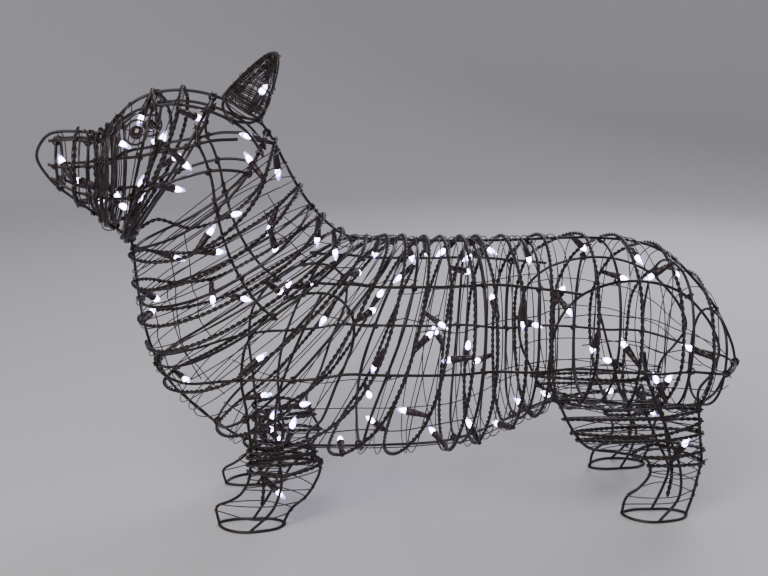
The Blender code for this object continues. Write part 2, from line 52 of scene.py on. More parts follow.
CAMERA_PLACE = (-0.10173, -1.0, 0.473)
CAMERA_DOWN = 13.387
CAMERA_RIGHT = 4.616
PICTURE_WIDTH = 768
FOCAL_PIXELS = 1000

camera = bpy.data.objects.new("camera", bpy.data.cameras.new("camera"))
camera.data.sensor_width = 36
camera.data.lens = FOCAL_PIXELS / PICTURE_WIDTH * camera.data.sensor_width
camera.location = CAMERA_PLACE
camera.rotation_euler = (math.radians(90 - CAMERA_DOWN), 0, math.radians(-CAMERA_RIGHT))
bpy.context.scene.collection.objects.link(camera)
bpy.context.scene.camera = camera

# The dog's skin: not a piece, but the surface that every wire is bent to.
# It is an oval at each station from the nose, 0, to the tail, 27. An angle goes from 0 on the back
# over the side to 180 below.

# x and z below, x and z above, and half the width, in millimetres
STATIONS = (
    (-351, 353, -349, 392, 14),
    (-321, 326, -318, 396, 21),
    (-299, 309, -294, 396, 27),
    (-285, 298, -271, 419, 42),
    (-277, 291, -246, 432, 50),
    (-275, 288, -213, 435, 54),
    (-274, 286, -177, 426, 54),
    (-273, 280, -143, 405, 54),
    (-272, 262, -121, 366, 60),
    (-270, 234, -101, 330, 67),
    (-266, 203, -77, 302, 74),
    (-258, 170, -57, 289, 80),
    (-241, 136, -37, 286, 84),
    (-209, 104, -19, 285, 88),
    (-168, 74, -6, 285, 90),
    (-100, 64, 10, 284, 90),
    (-36, 62, 31, 283, 90),
    (12, 62, 52, 283, 89),
    (55, 66, 72, 283, 87),
    (93, 79, 98, 283, 84),
    (125, 94, 124, 283, 82),
    (152, 105, 151, 284, 82),
    (190, 106, 193, 284, 84),
    (229, 102, 235, 280, 85),
    (268, 98, 274, 267, 80),
    (304, 97, 311, 234, 66),
    (333, 102, 339, 197, 44),
    (350, 130, 356, 162, 16),
)
LAST = len(STATIONS) - 1
ROUNDNESS = 0.86

# How far to each side of a point the skin's slope is taken, in stations and in degrees
SLOPE_ALONG = 0.02
SLOPE_ROUND = 1


def station(s):
    """The skin's row at station s, on a smooth curve through STATIONS, in metres."""
    s = min(max(s, 0.0), float(LAST))
    low = min(int(s), LAST - 1)
    t = s - low
    before, here, there, after = (
        np.array(STATIONS[min(max(i, 0), LAST)], float) * MM for i in range(low - 1, low + 3)
    )
    return 0.5 * (
        2 * here
        + (there - before) * t
        + (2 * before - 5 * here + 4 * there - after) * t**2
        + (3 * here - before - 3 * there + after) * t**3
    )


def middle_of(s):
    low_x, low_z, high_x, high_z, _ = station(s)
    return Vector(((low_x + high_x) / 2, 0, (low_z + high_z) / 2))


def bare_skin(s, angle):
    low_x, low_z, high_x, high_z, half = station(s)
    up = math.cos(math.radians(angle))
    out = math.sin(math.radians(angle))
    up = math.copysign(abs(up) ** ROUNDNESS, up)
    out = math.copysign(abs(out) ** ROUNDNESS, out)
    return Vector((
        (low_x + high_x) / 2 + (high_x - low_x) / 2 * up,
        -half * out,
        (low_z + high_z) / 2 + (high_z - low_z) / 2 * up,
    ))


def skin(s, angle, lift=0.0):
    """The point this far outside the skin, square to it, on the left side. The lift is in millimetres."""
    point = bare_skin(s, angle)
    along = bare_skin(min(s + SLOPE_ALONG, LAST), angle) - bare_skin(max(s - SLOPE_ALONG, 0), angle)
    across = bare_skin(s, angle + SLOPE_ROUND) - bare_skin(s, angle - SLOPE_ROUND)
    normal = across.cross(along).normalized()
    if normal.dot(point - middle_of(s)) < 0:
        normal.negate()
    return point + normal * lift * MM


def mirrored(points):
    return [Vector((p.x, -p.y, p.z)) for p in points]


# Wires in the middle plane: 3 mm mild steel rod, bent cold to the dog's profile and dipped in brown
# vinyl. One loop goes round the head, one rod runs down the back and one down the chest and belly,
# and all else is tied to these three.

FRAME_WIRE = 3.0
NOSE_TIP = (-360.0, 372.5)
NAPE = 7.0
BACK_JOINT = 0.012
THROAT_JOINT = 0.02
BACK_END = (360.0, 146.5)
BELLY_END = (358.8, 143.0)
STRAIGHTENING = 0.2
BEND_STEP = 4.0

# The widest spacing of a rod's points on the skin, in stations
MIDDLE_STEP = 1.0
CROWN_STEP = 0.6

# Where hoops and strings cross the rods: station on the back, on the sides and below
HEAD_HOOPS = {
    "nose_hoop": (0.4, 0.4, 0.4),
    "muzzle_hoop": (1.45, 1.45, 1.5),
    "stop_hoop": (2.6, 2.6, 2.6),
    "forehead_hoop": (4.2, 4.2, 3.9),
    "crown_hoop": (5.7, 5.9, 5.2),
}
BODY_HOOPS = {
    "collar_hoop": (7.3, 7.9, 6.9),
    "neck_hoop": (9.3, 9.8, 9.2),
    "chest_hoop": (11.2, 11.6, 11.2),
    "shoulder_hoop": (13.6, 13.6, 13.3),
    "rib_hoop": (15.1, 15.5, 15.8),
    "loin_hoop": (17.9, 18.2, 18.0),
    "flank_hoop": (20.2, 20.0, 19.8),
    "hip_hoop": (22.3, 22.3, 22.1),
    "rump_hoop": (24.3, 24.3, 24.3),
    "tail_hoop": (25.8, 25.8, 25.6),
}
HEAD_TURNS = (
    (1.0, 1.0, 1.0),
    (1.9, 1.9, 1.9),
    (2.25, 2.25, 2.2),
    (4.05, 4.9, 3.5),
    (4.9, 5.3, 4.4),
    (7.5, 8.6, 7.4),
    (8.7, 9.25, 8.6),
    (9.7, 10.3, 9.8),
    (10.6, 11.1, 10.6),
)
BODY_TURNS = (
    (11.9, 12.6, 11.8),
    (13.1, 14.1, 13.4),
    (14.4, 15.2, 14.0),
    (15.6, 15.9, 15.3),
    (16.4, 16.9, 16.3),
    (17.4, 17.8, 17.7),
    (18.2, 18.55, 18.4),
    (19.2, 19.5, 19.4),
    (20.7, 20.4, 20.3),
    (21.8, 21.75, 21.5),
    (22.7, 22.8, 22.9),
    (23.7, 23.9, 23.5),
    (24.8, 24.9, 24.9),
)
FRONT_STRING_CROSSING = 14.3
HIND_STRING_CROSSING = 23.9
ALL_HOOPS = (*HEAD_HOOPS.values(), *BODY_HOOPS.values())


def linear(hex_colour):
    """An sRGB hex colour as linear red, green, blue and alpha."""
    parts = [int(hex_colour[i:i + 2], 16) / 255 for i in (1, 3, 5)]
    return (*(p / 12.92 if p <= 0.04045 else ((p + 0.055) / 1.055) ** 2.4 for p in parts), 1.0)


def add_node(tree, kind, settings, links=()):
    """Adds a node with these socket values or properties, and links (socket, node, output) into it."""
    made = tree.nodes.new(kind)
    for key, value in settings.items():
        if hasattr(made, key):
            setattr(made, key, value)
        else:
            made.inputs[key].default_value = value
    for socket, source, output in links:
        tree.links.new(source.outputs[output], made.inputs[socket])
    return made


def new_finish(name):
    """A material with its node tree, its shader and the object's own coordinates, in metres."""
    made = bpy.data.materials.new(name)
    made.use_nodes = True
    tree = made.node_tree
    return made, tree, tree.nodes["Principled BSDF"], add_node(tree, "ShaderNodeTexCoord", {})


def per_metre(size_mm):
    """The scale of a pattern whose grains are this many millimetres across."""
    return 1 / (size_mm * MM)


# Vinyl-dipped steel: a soft dark brown skin with lazy lumps where it ran before it set, a satin shine,
# and paler dusty patches about a centimetre across.
LUMP_SIZE = 5.0
DUST_SIZE = 11.0

dipped_wire, tree, shader, place = new_finish("vinyl_dipped_steel_wire")
lumps = add_node(
    tree, "ShaderNodeTexNoise", {"Scale": per_metre(LUMP_SIZE), "Detail": 3.0}, [("Vector", place, "Object")]
)
dust = add_node(
    tree, "ShaderNodeTexNoise", {"Scale": per_metre(DUST_SIZE), "Detail": 6.0}, [("Vector", place, "Object")]
)
dusty = add_node(tree, "ShaderNodeValToRGB", {}, [("Fac", dust, "Fac")])
dusty.color_ramp.elements[0].position = 0.35
dusty.color_ramp.elements[0].color = linear("#0d0807")
dusty.color_ramp.elements[1].position = 0.72
dusty.color_ramp.elements[1].color = linear("#261a17")
shine = add_node(tree, "ShaderNodeMapRange", {"To Min": 0.24, "To Max": 0.5}, [("Value", dust, "Fac")])
relief = add_node(tree, "ShaderNodeBump", {"Strength": 0.5, "Distance": 0.3 * MM}, [("Height", lumps, "Fac")])
tree.links.new(dusty.outputs["Color"], shader.inputs["Base Color"])
tree.links.new(shine.outputs["Result"], shader.inputs["Roughness"])
tree.links.new(relief.outputs["Normal"], shader.inputs["Normal"])
shader.inputs["IOR"].default_value = 1.5


SHORTEST_RUN = 1e-6
STEP_SLACK = 0.01


def smooth_path(points, step, closed=False):
    """Points at about this step, in millimetres, on a smooth curve through the given ones."""
    knots = [np.array(point, float) for point in points]
    if closed:
        knots = [knots[-1], *knots, knots[0], knots[1]]
    else:
        knots = [2 * knots[0] - knots[1], *knots, 2 * knots[-1] - knots[-2]]
    made = []
    for p0, p1, p2, p3 in zip(knots, knots[1:], knots[2:], knots[3:]):
        runs = ((p0, p1), (p1, p2), (p2, p3))
        d0, d1, d2 = (max(float(np.linalg.norm(b - a)), SHORTEST_RUN) for a, b in runs)
        leave = ((p1 - p0) / d0 * d1 + (p2 - p1) / d1 * d0) / (d0 + d1) * d1
        arrive = ((p2 - p1) / d1 * d2 + (p3 - p2) / d2 * d1) / (d1 + d2) * d1
        count = max(1, round(d1 / (step * MM)))
        for t in (k / count for k in range(count)):
            made.append(Vector(
                (2 * t**3 - 3 * t**2 + 1) * p1
                + (t**3 - 2 * t**2 + t) * leave
                + (3 * t**2 - 2 * t**3) * p2
                + (t**3 - t**2) * arrive
            ))
    return made if closed else made + [Vector(points[-1])]


def straightened(points, slack):
    """These points without the ones that lie within slack, in millimetres, of a straight line past them."""
    if len(points) < 3:
        return points
    a, b = points[0], points[-1]
    run = (b - a).normalized()
    off = [(p - a - run * run.dot(p - a)).length for p in points]
    worst = max(range(len(points)), key=off.__getitem__)
    if off[worst] < slack * MM:
        return [a, b]
    return straightened(points[:worst + 1], slack)[:-1] + straightened(points[worst:], slack)


def filled(kept, step):
    """These values in order, with even ones between them so that none are further apart than step."""
    kept = sorted(set(kept))
    made = []
    for a, b in zip(kept, kept[1:]):
        count = max(1, math.ceil((b - a) / step - STEP_SLACK))
        made += [a + (b - a) * i / count for i in range(count)]
    return made + [kept[-1]]


def bent_wires(name, lines, diameter, look, roundness=2):
    """One piece of round wires. Each line is its points and whether it is closed."""
    curve = bpy.data.curves.new(name, "CURVE")
    curve.dimensions = "3D"
    curve.twist_mode = "MINIMUM"
    curve.bevel_depth = diameter / 2 * MM
    curve.bevel_resolution = roundness
    curve.use_fill_caps = True
    for points, closed in lines:
        spline = curve.splines.new("POLY")
        spline.points.add(len(points) - 1)
        for knot, point in zip(spline.points, points):
            knot.co = (*point, 1)
        spline.use_cyclic_u = closed
    curve.materials.append(look)
    made = bpy.data.objects.new(name, curve)
    bpy.context.scene.collection.objects.link(made)
    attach(made, "root")
    return made


# What is laid so far: every wire and lamp as its name, points and radius, and each rod's name and line
LAID = []
RODS = []


def frame_wire(node, points, closed=False):
    """A frame wire in place of its CAD node."""
    LAID.append((node, points + points[:1] if closed else points, FRAME_WIRE / 2 * MM))
    line = smooth_path(points, BEND_STEP, closed)
    made = bent_wires(node + "_rod", [(line, closed)], FRAME_WIRE, dipped_wire)
    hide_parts(node)
    RODS.append((node, line + line[:1] if closed else line))


turns = (*ALL_HOOPS, *HEAD_TURNS, *BODY_TURNS)
above = {turn[0] for turn in turns}
below = {turn[2] for turn in turns} | {FRONT_STRING_CROSSING, HIND_STRING_CROSSING}
jaw = filled({0.0, NAPE} | {s for s in below if s < NAPE}, MIDDLE_STEP)
crown = filled({0.0, NAPE} | {s for s in above if s < NAPE}, CROWN_STEP)
loop = straightened([skin(s, 180) for s in reversed(jaw)], STRAIGHTENING)
loop.append(Vector((NOSE_TIP[0], 0, NOSE_TIP[1])) * MM)
loop += straightened([skin(s, 0) for s in crown], STRAIGHTENING)
frame_wire("head_profile_wire", loop)
for node, angle, met, start, end in (
    ("back_wire", 0, above, NAPE + BACK_JOINT, BACK_END),
    ("chest_and_belly_wire", 180, below, NAPE + THROAT_JOINT, BELLY_END),
):
    steps = filled({start, float(LAST)} | {s for s in met if s > start}, MIDDLE_STEP)
    points = [skin(s, angle) for s in steps] + [Vector((end[0], 0, end[1])) * MM]
    frame_wire(node, straightened(points, STRAIGHTENING))

# Lengthwise wires: the same dipped rod, six on each side from the nose to the tail. They lie on the
# dog's skin, and each is tied with thin wire to every hoop that it crosses.

TOUCH = 0.3
BODY_START = 11.5
SIDE_STEP = 0.7
CROSSING_ROUNDS = 8
SIDE_WIRES = {
    "crown_wire": ((0.2, 40), (2, 38), (4, 36), (7.6, 34)),
    "upper_cheek_wire": ((0.2, 100), (2, 76), (4, 81), (5.6, 74), (6.3, 61), (6.9, 46)),
    "lower_cheek_wire": ((0.25, 140), (2, 110), (4, 107), (5.5, 97), (6.3, 89), (6.9, 77), (7.75, 51)),
    "neck_wire": ((7.65, 81), (8.6, 84), (9.8, 85), (11.8, 84)),
    "upper_side_wire": ((11.3, 60), (13.2, 51), (15.9, 48), (18, 48), (20, 55), (21.4, 62)),
    "lower_side_wire": ((11.1, 177), (12.5, 114), (13.5, 99), (14.8, 91), (18, 92), (20.8, 104), (23, 106),
                        (24.5, 99), (27, 88)),
}


def smooth(knots, x):
    """y at x on a smooth curve through the knots (x, y), without overshoot between them."""
    x = min(max(x, knots[0][0]), knots[-1][0])
    slopes = [(b[1] - a[1]) / (b[0] - a[0]) for a, b in zip(knots, knots[1:])]
    bends = [0.0 if a * b <= 0 else 2 * a * b / (a + b) for a, b in zip(slopes, slopes[1:])]
    bends = [slopes[0], *bends, slopes[-1]]
    i = next(i for i, knot in enumerate(knots[1:]) if x <= knot[0])
    (x0, y0), (x1, y1) = knots[i], knots[i + 1]
    t = (x - x0) / (x1 - x0)
    return (
        (2 * t**3 - 3 * t**2 + 1) * y0
        + (t**3 - 2 * t**2 + t) * (x1 - x0) * bends[i]
        + (3 * t**2 - 2 * t**3) * y1
        + (t**3 - t**2) * (x1 - x0) * bends[i + 1]
    )


def turn_station(turn, angle):
    """The station of a hoop or a turn of string at this angle."""
    back, side, below = turn
    flat = math.cos(math.radians(angle))
    return side + (back - side) * max(flat, 0) ** 2 + (below - side) * min(flat, 0) ** 2


def crossing(turn, knots):
    """The station and angle at which a hoop or a turn of string meets a lengthwise wire, or None."""
    angle = 90.0
    for _ in range(CROSSING_ROUNDS):
        angle = smooth(knots, turn_station(turn, angle))
    s = turn_station(turn, angle)
    return (s, angle) if knots[0][0] < s < knots[-1][0] else None


def crossed_angles(turn):
    """The angles at which a hoop or a turn of string meets the lengthwise wires."""
    met = [crossing(turn, knots) for knots in SIDE_WIRES.values()]
    return [0.0] + sorted(m[1] for m in met if m) + [180.0]


def right_turns(turns):
    """How a string comes up the right side from below each turn to the back of the next.
    On the body it mirrors the left side, and on the head it moves on to the next turn at once."""
    return [
        (onward[0], (turn if turn[0] > BODY_START else onward)[1], turn[2])
        for turn, onward in zip(turns, turns[1:])
    ]


turns_met = {
    "left": (*HEAD_TURNS, *BODY_TURNS),
    "right": (*right_turns(HEAD_TURNS), *right_turns(BODY_TURNS)),
}
tail = Vector((BELLY_END[0], -(FRAME_WIRE + 2 * TOUCH), (BACK_END[1] + BELLY_END[1]) / 2)) * MM
for node, knots in SIDE_WIRES.items():
    for side, turns in turns_met.items():
        met = [crossing(turn, knots) for turn in (*ALL_HOOPS, *turns)]
        steps = filled({knots[0][0], knots[-1][0]} | {m[0] for m in met if m}, SIDE_STEP)
        points = straightened([skin(s, smooth(knots, s)) for s in steps], STRAIGHTENING)
        if knots[-1][0] == LAST:
            points.append(tail)
        frame_wire(f"{node}_{side}", points if side == "left" else mirrored(points))

# Hoops: rings of the same dipped rod, butt welded closed, that give the body its round section.
# They sit inside the lengthwise wires, against them.

CHORD_SLACK = 0.15
HOOP_LIFT = -(FRAME_WIRE + TOUCH + CHORD_SLACK)
HEAD_ARC = 36.0
BODY_ARC = 28.0

for group, arc in ((HEAD_HOOPS, HEAD_ARC), (BODY_HOOPS, BODY_ARC)):
    for node, turn in group.items():
        angles = filled(crossed_angles(turn), arc)
        left = [skin(turn_station(turn, a), a, HOOP_LIFT) for a in angles]
        frame_wire(node, left + mirrored(left[1:-1])[::-1], closed=True)

# Cheek curves: on each side one more dipped rod is bent from the foot of the ear down the cheek to the
# start of the neck wire. It lies inside the lengthwise rods, against them, and is tied to them.

CHEEK_CURVE = ((5.8, 33), (5.8, 48), (5.95, 60), (6.6, 72), (7.2, 78), (7.65, 81), (8.1, 82.5))

cheek_line = smooth_path([skin(s, angle, HOOP_LIFT) for s, angle in CHEEK_CURVE], BEND_STEP)
for side, line in (("left", cheek_line), ("right", mirrored(cheek_line))):
    bent_wires(f"cheek_curve_{side}_rod", [(line, False)], FRAME_WIRE, dipped_wire)
    RODS.append((f"cheek_curve_{side}", line))

# Legs: each is bent from the same rod. A ring lies under the foot, a loop runs from its toe up over
# the shoulder or thigh and down to the heel, and two uprights are welded in between.

# The legs pass inside the hoops, clear of the straight runs between a hoop's points
LEG_CHORDS = 12
LEG_LIFT = 2 * HOOP_LIFT - LEG_CHORDS * CHORD_SLACK
LEG_STEP = 24.0
LEG_STRAIGHTENING = 0.5
FLAT_DOWN = 45.0
FRONT_FOOT_X = -160.0
HIND_FOOT_X = 258.0
FOOT_TRACK = {"front_left": 55.0, "front_right": 57.0, "hind_left": 66.0, "hind_right": 68.0}
FOOT_LENGTH = 66.0
FOOT_WIDTH = 30.0

# The ring under a foot, from the toe over the outer side and the heel: shares of its length and width
FOOT_SHAPE = ((-0.52, -0.24), (-0.46, 0.12), (-0.20, 0.50), (0.14, 0.50), (0.42, 0.26), (0.50, -0.05),
              (0.36, -0.34), (0.0, -0.46), (-0.34, -0.44))

# A point is x, distance outward and z from the foot's middle, in millimetres, or a station and an angle
SHOULDER_LOOP = (
    (-36, -9, 19), (-24, -6, 25), (-12, -4, 33), (-3, -2, 48), (0, 2, 66),
    (13.45, 130), (12.6, 112), (11.9, 98), (11.4, 82), (11.6, 66), (12.6, 61), (13.6, 66),
    (14.35, 80), (14.6, 98), (14.75, 118), (14.75, 138),
    (70, -2, 62), (63, 0, 43), (55, 0, 31), (39, 0, 17),
)
FRONT_OUTER = ((22, 15, 25), (30, 14, 46), (14.1, 128), (13.5, 104), (12.75, 84), (12.0, 62))
FRONT_INNER = ((14, -15, 22), (26, -15, 46), (30, -16, 66), (14.2, 150))
THIGH_LOOP = (
    (-30, -6, 20), (-18, -5, 30), (-8, -4, 44), (-14, 4, 64), (-46, 9, 76), (-80, 10, 84), (-94, 12, 100),
    (20.6, 116), (20.5, 96), (20.8, 78), (21.4, 62), (22.3, 50), (23.3, 46), (24.3, 46),
    (25.2, 54), (25.6, 74), (25.3, 98), (24.9, 118),
    (40, 4, 84), (44, 1, 62), (42, 0, 44), (38, 0, 22),
)
HIND_OUTER = ((18, 13, 26), (17, 14, 58), (4, 17, 90), (23.2, 112), (23.0, 94))
HIND_INNER = ((10, -15, 22), (16, -15, 46), (4, -16, 74), (23.25, 146))


def spline_through(points, step):
    """Points at about this step, in millimetres, on a smooth curve through evenly spread ones."""
    made = []
    for i, (a, b) in enumerate(zip(points, points[1:])):
        before = points[i - 1] if i else a * 2 - b
        after = points[i + 2] if i + 2 < len(points) else b * 2 - a
        count = max(1, round((b - a).length / (step * MM)))
        for t in (k / count for k in range(count)):
            made.append(0.5 * (
                a * 2
                + (b - before) * t
                + (before * 2 - a * 5 + b * 4 - after) * t**2
                + (a * 3 - before - b * 3 + after) * t**3
            ))
    return made + [points[-1]]


def leg_point(point, foot, out):
    """A leg's point: one given by station and angle is on the skin, the others are from the foot."""
    if len(point) == 2:
        spot = skin(*point, LEG_LIFT)
        return Vector((spot.x, -out * spot.y, spot.z))
    return foot + Vector((point[0], out * point[1], point[2])) * MM


LEG_LINES = {}
for foot_name, track in FOOT_TRACK.items():
    out = -1 if foot_name.endswith("left") else 1
    if foot_name.startswith("front"):
        foot_x, shape = FRONT_FOOT_X, (SHOULDER_LOOP, FRONT_OUTER, FRONT_INNER)
    else:
        foot_x, shape = HIND_FOOT_X, (THIGH_LOOP, HIND_OUTER, HIND_INNER)
    foot = Vector((foot_x, out * track, 0)) * MM
    height = FRAME_WIRE / 2 * math.cos(math.radians(FLAT_DOWN))
    ring = [leg_point((x * FOOT_LENGTH, y * FOOT_WIDTH, height), foot, out) for x, y in FOOT_SHAPE]
    LAID.append((foot_name + "_ring", ring + ring[:1], FRAME_WIRE / 2 * MM))
    toe, _, outer_front, outer_back, outer_heel, inner_heel, _, inner_side, _ = ring
    resting = Vector((0, 0, FRAME_WIRE / 2 - height)) * MM
    lines = [(smooth_path([p + resting for p in ring], BEND_STEP, True), True)]
    LEG_LINES[foot_name] = []
    for ends, route in (
        ((toe, (outer_heel + inner_heel) / 2), shape[0]),
        (((outer_front + outer_back) / 2,), shape[1]),
        ((inner_side,), shape[2]),
    ):
        route = [ends[0], *(leg_point(point, foot, out) for point in route), *ends[1:]]
        route = straightened(spline_through(route, LEG_STEP), LEG_STRAIGHTENING)
        LAID.append((foot_name + "_leg", route, FRAME_WIRE / 2 * MM))
        line = smooth_path(route, BEND_STEP)
        lines.append((line, False))
        LEG_LINES[foot_name].append(line)
    leg = bent_wires(foot_name + "_leg_rods", lines, FRAME_WIRE, dipped_wire)
    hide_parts(foot_name + "_leg")
    RODS.extend((foot_name + "_leg", line) for line, closed in lines)

# Ears: each is one piece of the same dipped rod, bent to a narrow loop and closed. It stands on the
# crown wire, against it, and leans back.

EAR_LIFT = FRAME_WIRE + TOUCH
EAR_BASE = ((5.98, 14), (6.25, 34.5), (6.65, 35), (6.98, 14))
EAR_TIP = (-127.0, -48.0, 471.0)
EAR_TIP_WIDTH = 6.0
EAR_TIP_SLANT = (0, -1, -2)
EAR_BOW_PLACE = 0.47
EAR_FRONT_BOW = (-2, 0, 2)
EAR_BACK_BOW = (4, -3, 0)
EAR_BEND = 7.0
EAR_BEND_SHARE = 0.3

base = [skin(s, angle, EAR_LIFT) for s, angle in EAR_BASE]
tip = Vector(EAR_TIP) * MM
half_tip = Vector((EAR_TIP_WIDTH / 2, 0, 0)) * MM
front_tip, back_tip = tip - half_tip, tip + half_tip + Vector(EAR_TIP_SLANT) * MM
front_edge = base[0].lerp(front_tip, EAR_BOW_PLACE) + Vector(EAR_FRONT_BOW) * MM
back_edge = base[-1].lerp(back_tip, EAR_BOW_PLACE) + Vector(EAR_BACK_BOW) * MM
EAR_LOOP = [*base[::-1], front_edge, front_tip, back_tip, back_edge]


def cornered(points):
    """The closed loop of these points with each corner bent round a small radius."""
    made = []
    for before, here, after in zip(points[-1:] + points[:-1], points, points[1:] + points[:1]):
        for other in (before, after):
            reach = other - here
            made.append(here + reach * min(EAR_BEND * MM / reach.length, EAR_BEND_SHARE))
    return made


for node, loop in (("ear_left", EAR_LOOP), ("ear_right", mirrored(EAR_LOOP))):
    LAID.append((node, loop + loop[:1], FRAME_WIRE / 2 * MM))
    line = smooth_path(cornered(loop), BEND_STEP, True)
    ear = bent_wires(node + "_rod", [(line, True)], FRAME_WIRE, dipped_wire)
    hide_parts(node)
    RODS.append((node, line + line[:1]))

# Eyes: a glossy brown resin button, domed in front, in a ring of thinner dipped wire. Two thin wires
# behind the button hold it in its ring, and the ring lies against the forehead hoop.

EYE_WIRE = 2.2
EYE_LIFT = HOOP_LIFT + (FRAME_WIRE + EYE_WIRE) / 2 + TOUCH
EYE_PLACE = (3.85, 61)
EYE_RING = 24.0
EYE_BALL = 14.0
EYE_PROFILE = (
    (-3.4, 0), (-3.4, 3.5), (-2.9, 5.6), (-1.6, 6.7), (-0.2, 7.0), (0.8, 6.6), (2.0, 5.4), (2.9, 3.6),
    (3.35, 1.8), (3.5, 0),
)
BUTTON_SIDES = 28
SHARP_EDGE = 40

# The step in stations that gives the eye its way forward
FORWARD_STEP = 0.1

# The degrees between the ring's points, for the lamps to keep clear of and for the wire that shows
EYE_RING_ARC = 36
EYE_RING_FINE_ARC = 12

# The thin wires lean over by this share, and pass behind the button from this share of the ring's radius
SPOKE_WIRE = 1.0
SPOKE_SLANT = 0.6
SPOKE_BEND = 0.4

# Cast resin: a wet-looking dark brown that lets no light through, clouded with a redder one.
CLOUD_SIZE = 4.0

eye_resin, tree, shader, place = new_finish("cast_brown_resin")
clouds = add_node(
    tree, "ShaderNodeTexNoise", {"Scale": per_metre(CLOUD_SIZE), "Detail": 2.0}, [("Vector", place, "Object")]
)
depth = add_node(tree, "ShaderNodeValToRGB", {}, [("Fac", clouds, "Fac")])
depth.color_ramp.elements[0].color = linear("#120706")
depth.color_ramp.elements[1].color = linear("#2c120d")
tree.links.new(depth.outputs["Color"], shader.inputs["Base Color"])
shader.inputs["Roughness"].default_value = 0.12
shader.inputs["Coat Weight"].default_value = 0.6
shader.inputs["Coat Roughness"].default_value = 0.04


def turned(work, profile, place, way, sides):
    """Turns a profile of (height, radius), in millimetres, about the line from place along way."""
    turn = way.to_track_quat("Z", "Y")
    rings = []
    for height, radius in profile:
        count = sides if radius else 1
        rings.append([
            work.verts.new(place + turn @ Vector((
                math.cos(2 * math.pi * i / sides) * radius * MM,
                math.sin(2 * math.pi * i / sides) * radius * MM,
                height * MM,
            )))
            for i in range(count)
        ])
    for lower, upper in zip(rings, rings[1:]):
        for i in range(sides):
            k = (i + 1) % sides
            corners = [
                lower[i % len(lower)], lower[k % len(lower)], upper[k % len(upper)], upper[i % len(upper)]
            ]
            work.faces.new(list(dict.fromkeys(corners)))


def mesh_piece(name, work, look):
    """The piece made of this mesh work, smooth but for its sharp edges."""
    bmesh.ops.recalc_face_normals(work, faces=work.faces)
    mesh = bpy.data.meshes.new(name)
    work.to_mesh(mesh)
    work.free()
    mesh.shade_smooth()
    mesh.set_sharp_from_angle(angle=math.radians(SHARP_EDGE))
    mesh.materials.append(look)
    made = bpy.data.objects.new(name, mesh)
    bpy.context.scene.collection.objects.link(made)
    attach(made, "root")
    return made


s, angle = EYE_PLACE
middle = skin(s, angle, EYE_LIFT)
outward = (skin(s, angle, EYE_LIFT + 1) - middle).normalized()
ahead = (skin(s - FORWARD_STEP, angle, EYE_LIFT) - middle).normalized()
up = ahead.cross(outward).normalized()
coarse, fine = (
    [middle + (ahead * math.cos(t) + up * math.sin(t)) * EYE_RING / 2 * MM
     for t in (math.radians(a) for a in range(0, 360, arc))]
    for arc in (EYE_RING_ARC, EYE_RING_FINE_ARC)
)
behind = -outward * EYE_BALL / 4 * MM
reaches = [
    slant.normalized() * EYE_RING / 2 * MM for slant in (ahead + up * SPOKE_SLANT, up - ahead * SPOKE_SLANT)
]
spokes = [
    [
        middle - reach, middle - reach * SPOKE_BEND + behind,
        middle + reach * SPOKE_BEND + behind, middle + reach,
    ]
    for reach in reaches
]
for side, sided in (("left", list), ("right", mirrored)):
    LAID.append(("eye_ring_" + side, sided(coarse + coarse[:1]), EYE_WIRE / 2 * MM))
    ring = bent_wires(f"eye_ring_{side}_wire", [(sided(fine), True)], EYE_WIRE, dipped_wire)
    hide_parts("eye_ring_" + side)
    thin_wires = [(sided(spoke), False) for spoke in spokes]
    bent_wires(f"eye_spokes_{side}", thin_wires, SPOKE_WIRE, dipped_wire, 1)
    work = bmesh.new()
    turned(work, EYE_PROFILE, *sided([middle, outward]), BUTTON_SIDES)
    button = mesh_piece(f"eye_button_{side}", work, eye_resin)
    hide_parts("eye_" + side)

# Light strings: mini lights on a pair of brown insulated wires twisted about each other. Two are wound
# round the cage over the rods, and one climbs each pair of legs. The lamps are pushed in through the
# wires, so that they hang inside.

CABLE = 3.4
CABLE_LIFT = (FRAME_WIRE + CABLE) / 2 + TOUCH
CABLE_SWELL = 1.3
CABLE_ARC = 30.0
PULLED_IN = 2.6
STRAND = 2.2
TWIST = 13.0
STRAND_STEP = 1.7
STRAND_SIDE = Vector((0.3, 0.2, 0.9))
LAMP_PITCH = 156.0
LEG_LAMP_PITCH = 72.0
SOCKET_LENGTH = 23.0
SOCKET_WIDTH = 8.0
BULB_LENGTH = 12.0
LAMP_LENGTH = SOCKET_LENGTH + BULB_LENGTH

# Below the belly wire: x from the foot's middle, share of the foot's track, and z, in millimetres
FRONT_STRING_RISE = ((10, 1.0, 20), (12, 1.0, 46), (7, 0.9, 70), (5, 0.5, 90))
HIND_STRING_RISE = ((11, 1.0, 22), (14, 1.0, 46), (14, 0.75, 74), (11, 0.6, 100), (9, 0.34, 112))

# How a lamp finds its room: it leans in more and more, turns about the cable, then moves along it
LAMP_LEANS = (0.6, 0.9, 1.4)
LAMP_TURNS = 10
LAMP_STRIDE = 3
LAMP_SHIFTS = (0, 8, -8, 16, -16, 24, -24, 32)
LAMP_CLEARANCE = SOCKET_WIDTH / 2 + 1.0
LAMP_PROBES = (0.0, 0.08, 0.17, 0.3, 0.45, 0.6, 0.75, 0.9, 1.0)
LAMP_DEPTH = 0.8
LEG_LAMP_SWAY = 10.0
LAMP_FLOOR = 8.0

# Later lamps keep clear of a lamp from this share of its length on
LAMP_FOOT = 0.2

# The skin's sections by which a point is found inside the cage: how many to a station, and how close it lies
SECTIONS_EACH = 8
SECTION_REACH = 6.0
SECTIONS = np.array([station(i / SECTIONS_EACH) for i in range(SECTIONS_EACH * LAST + 1)])


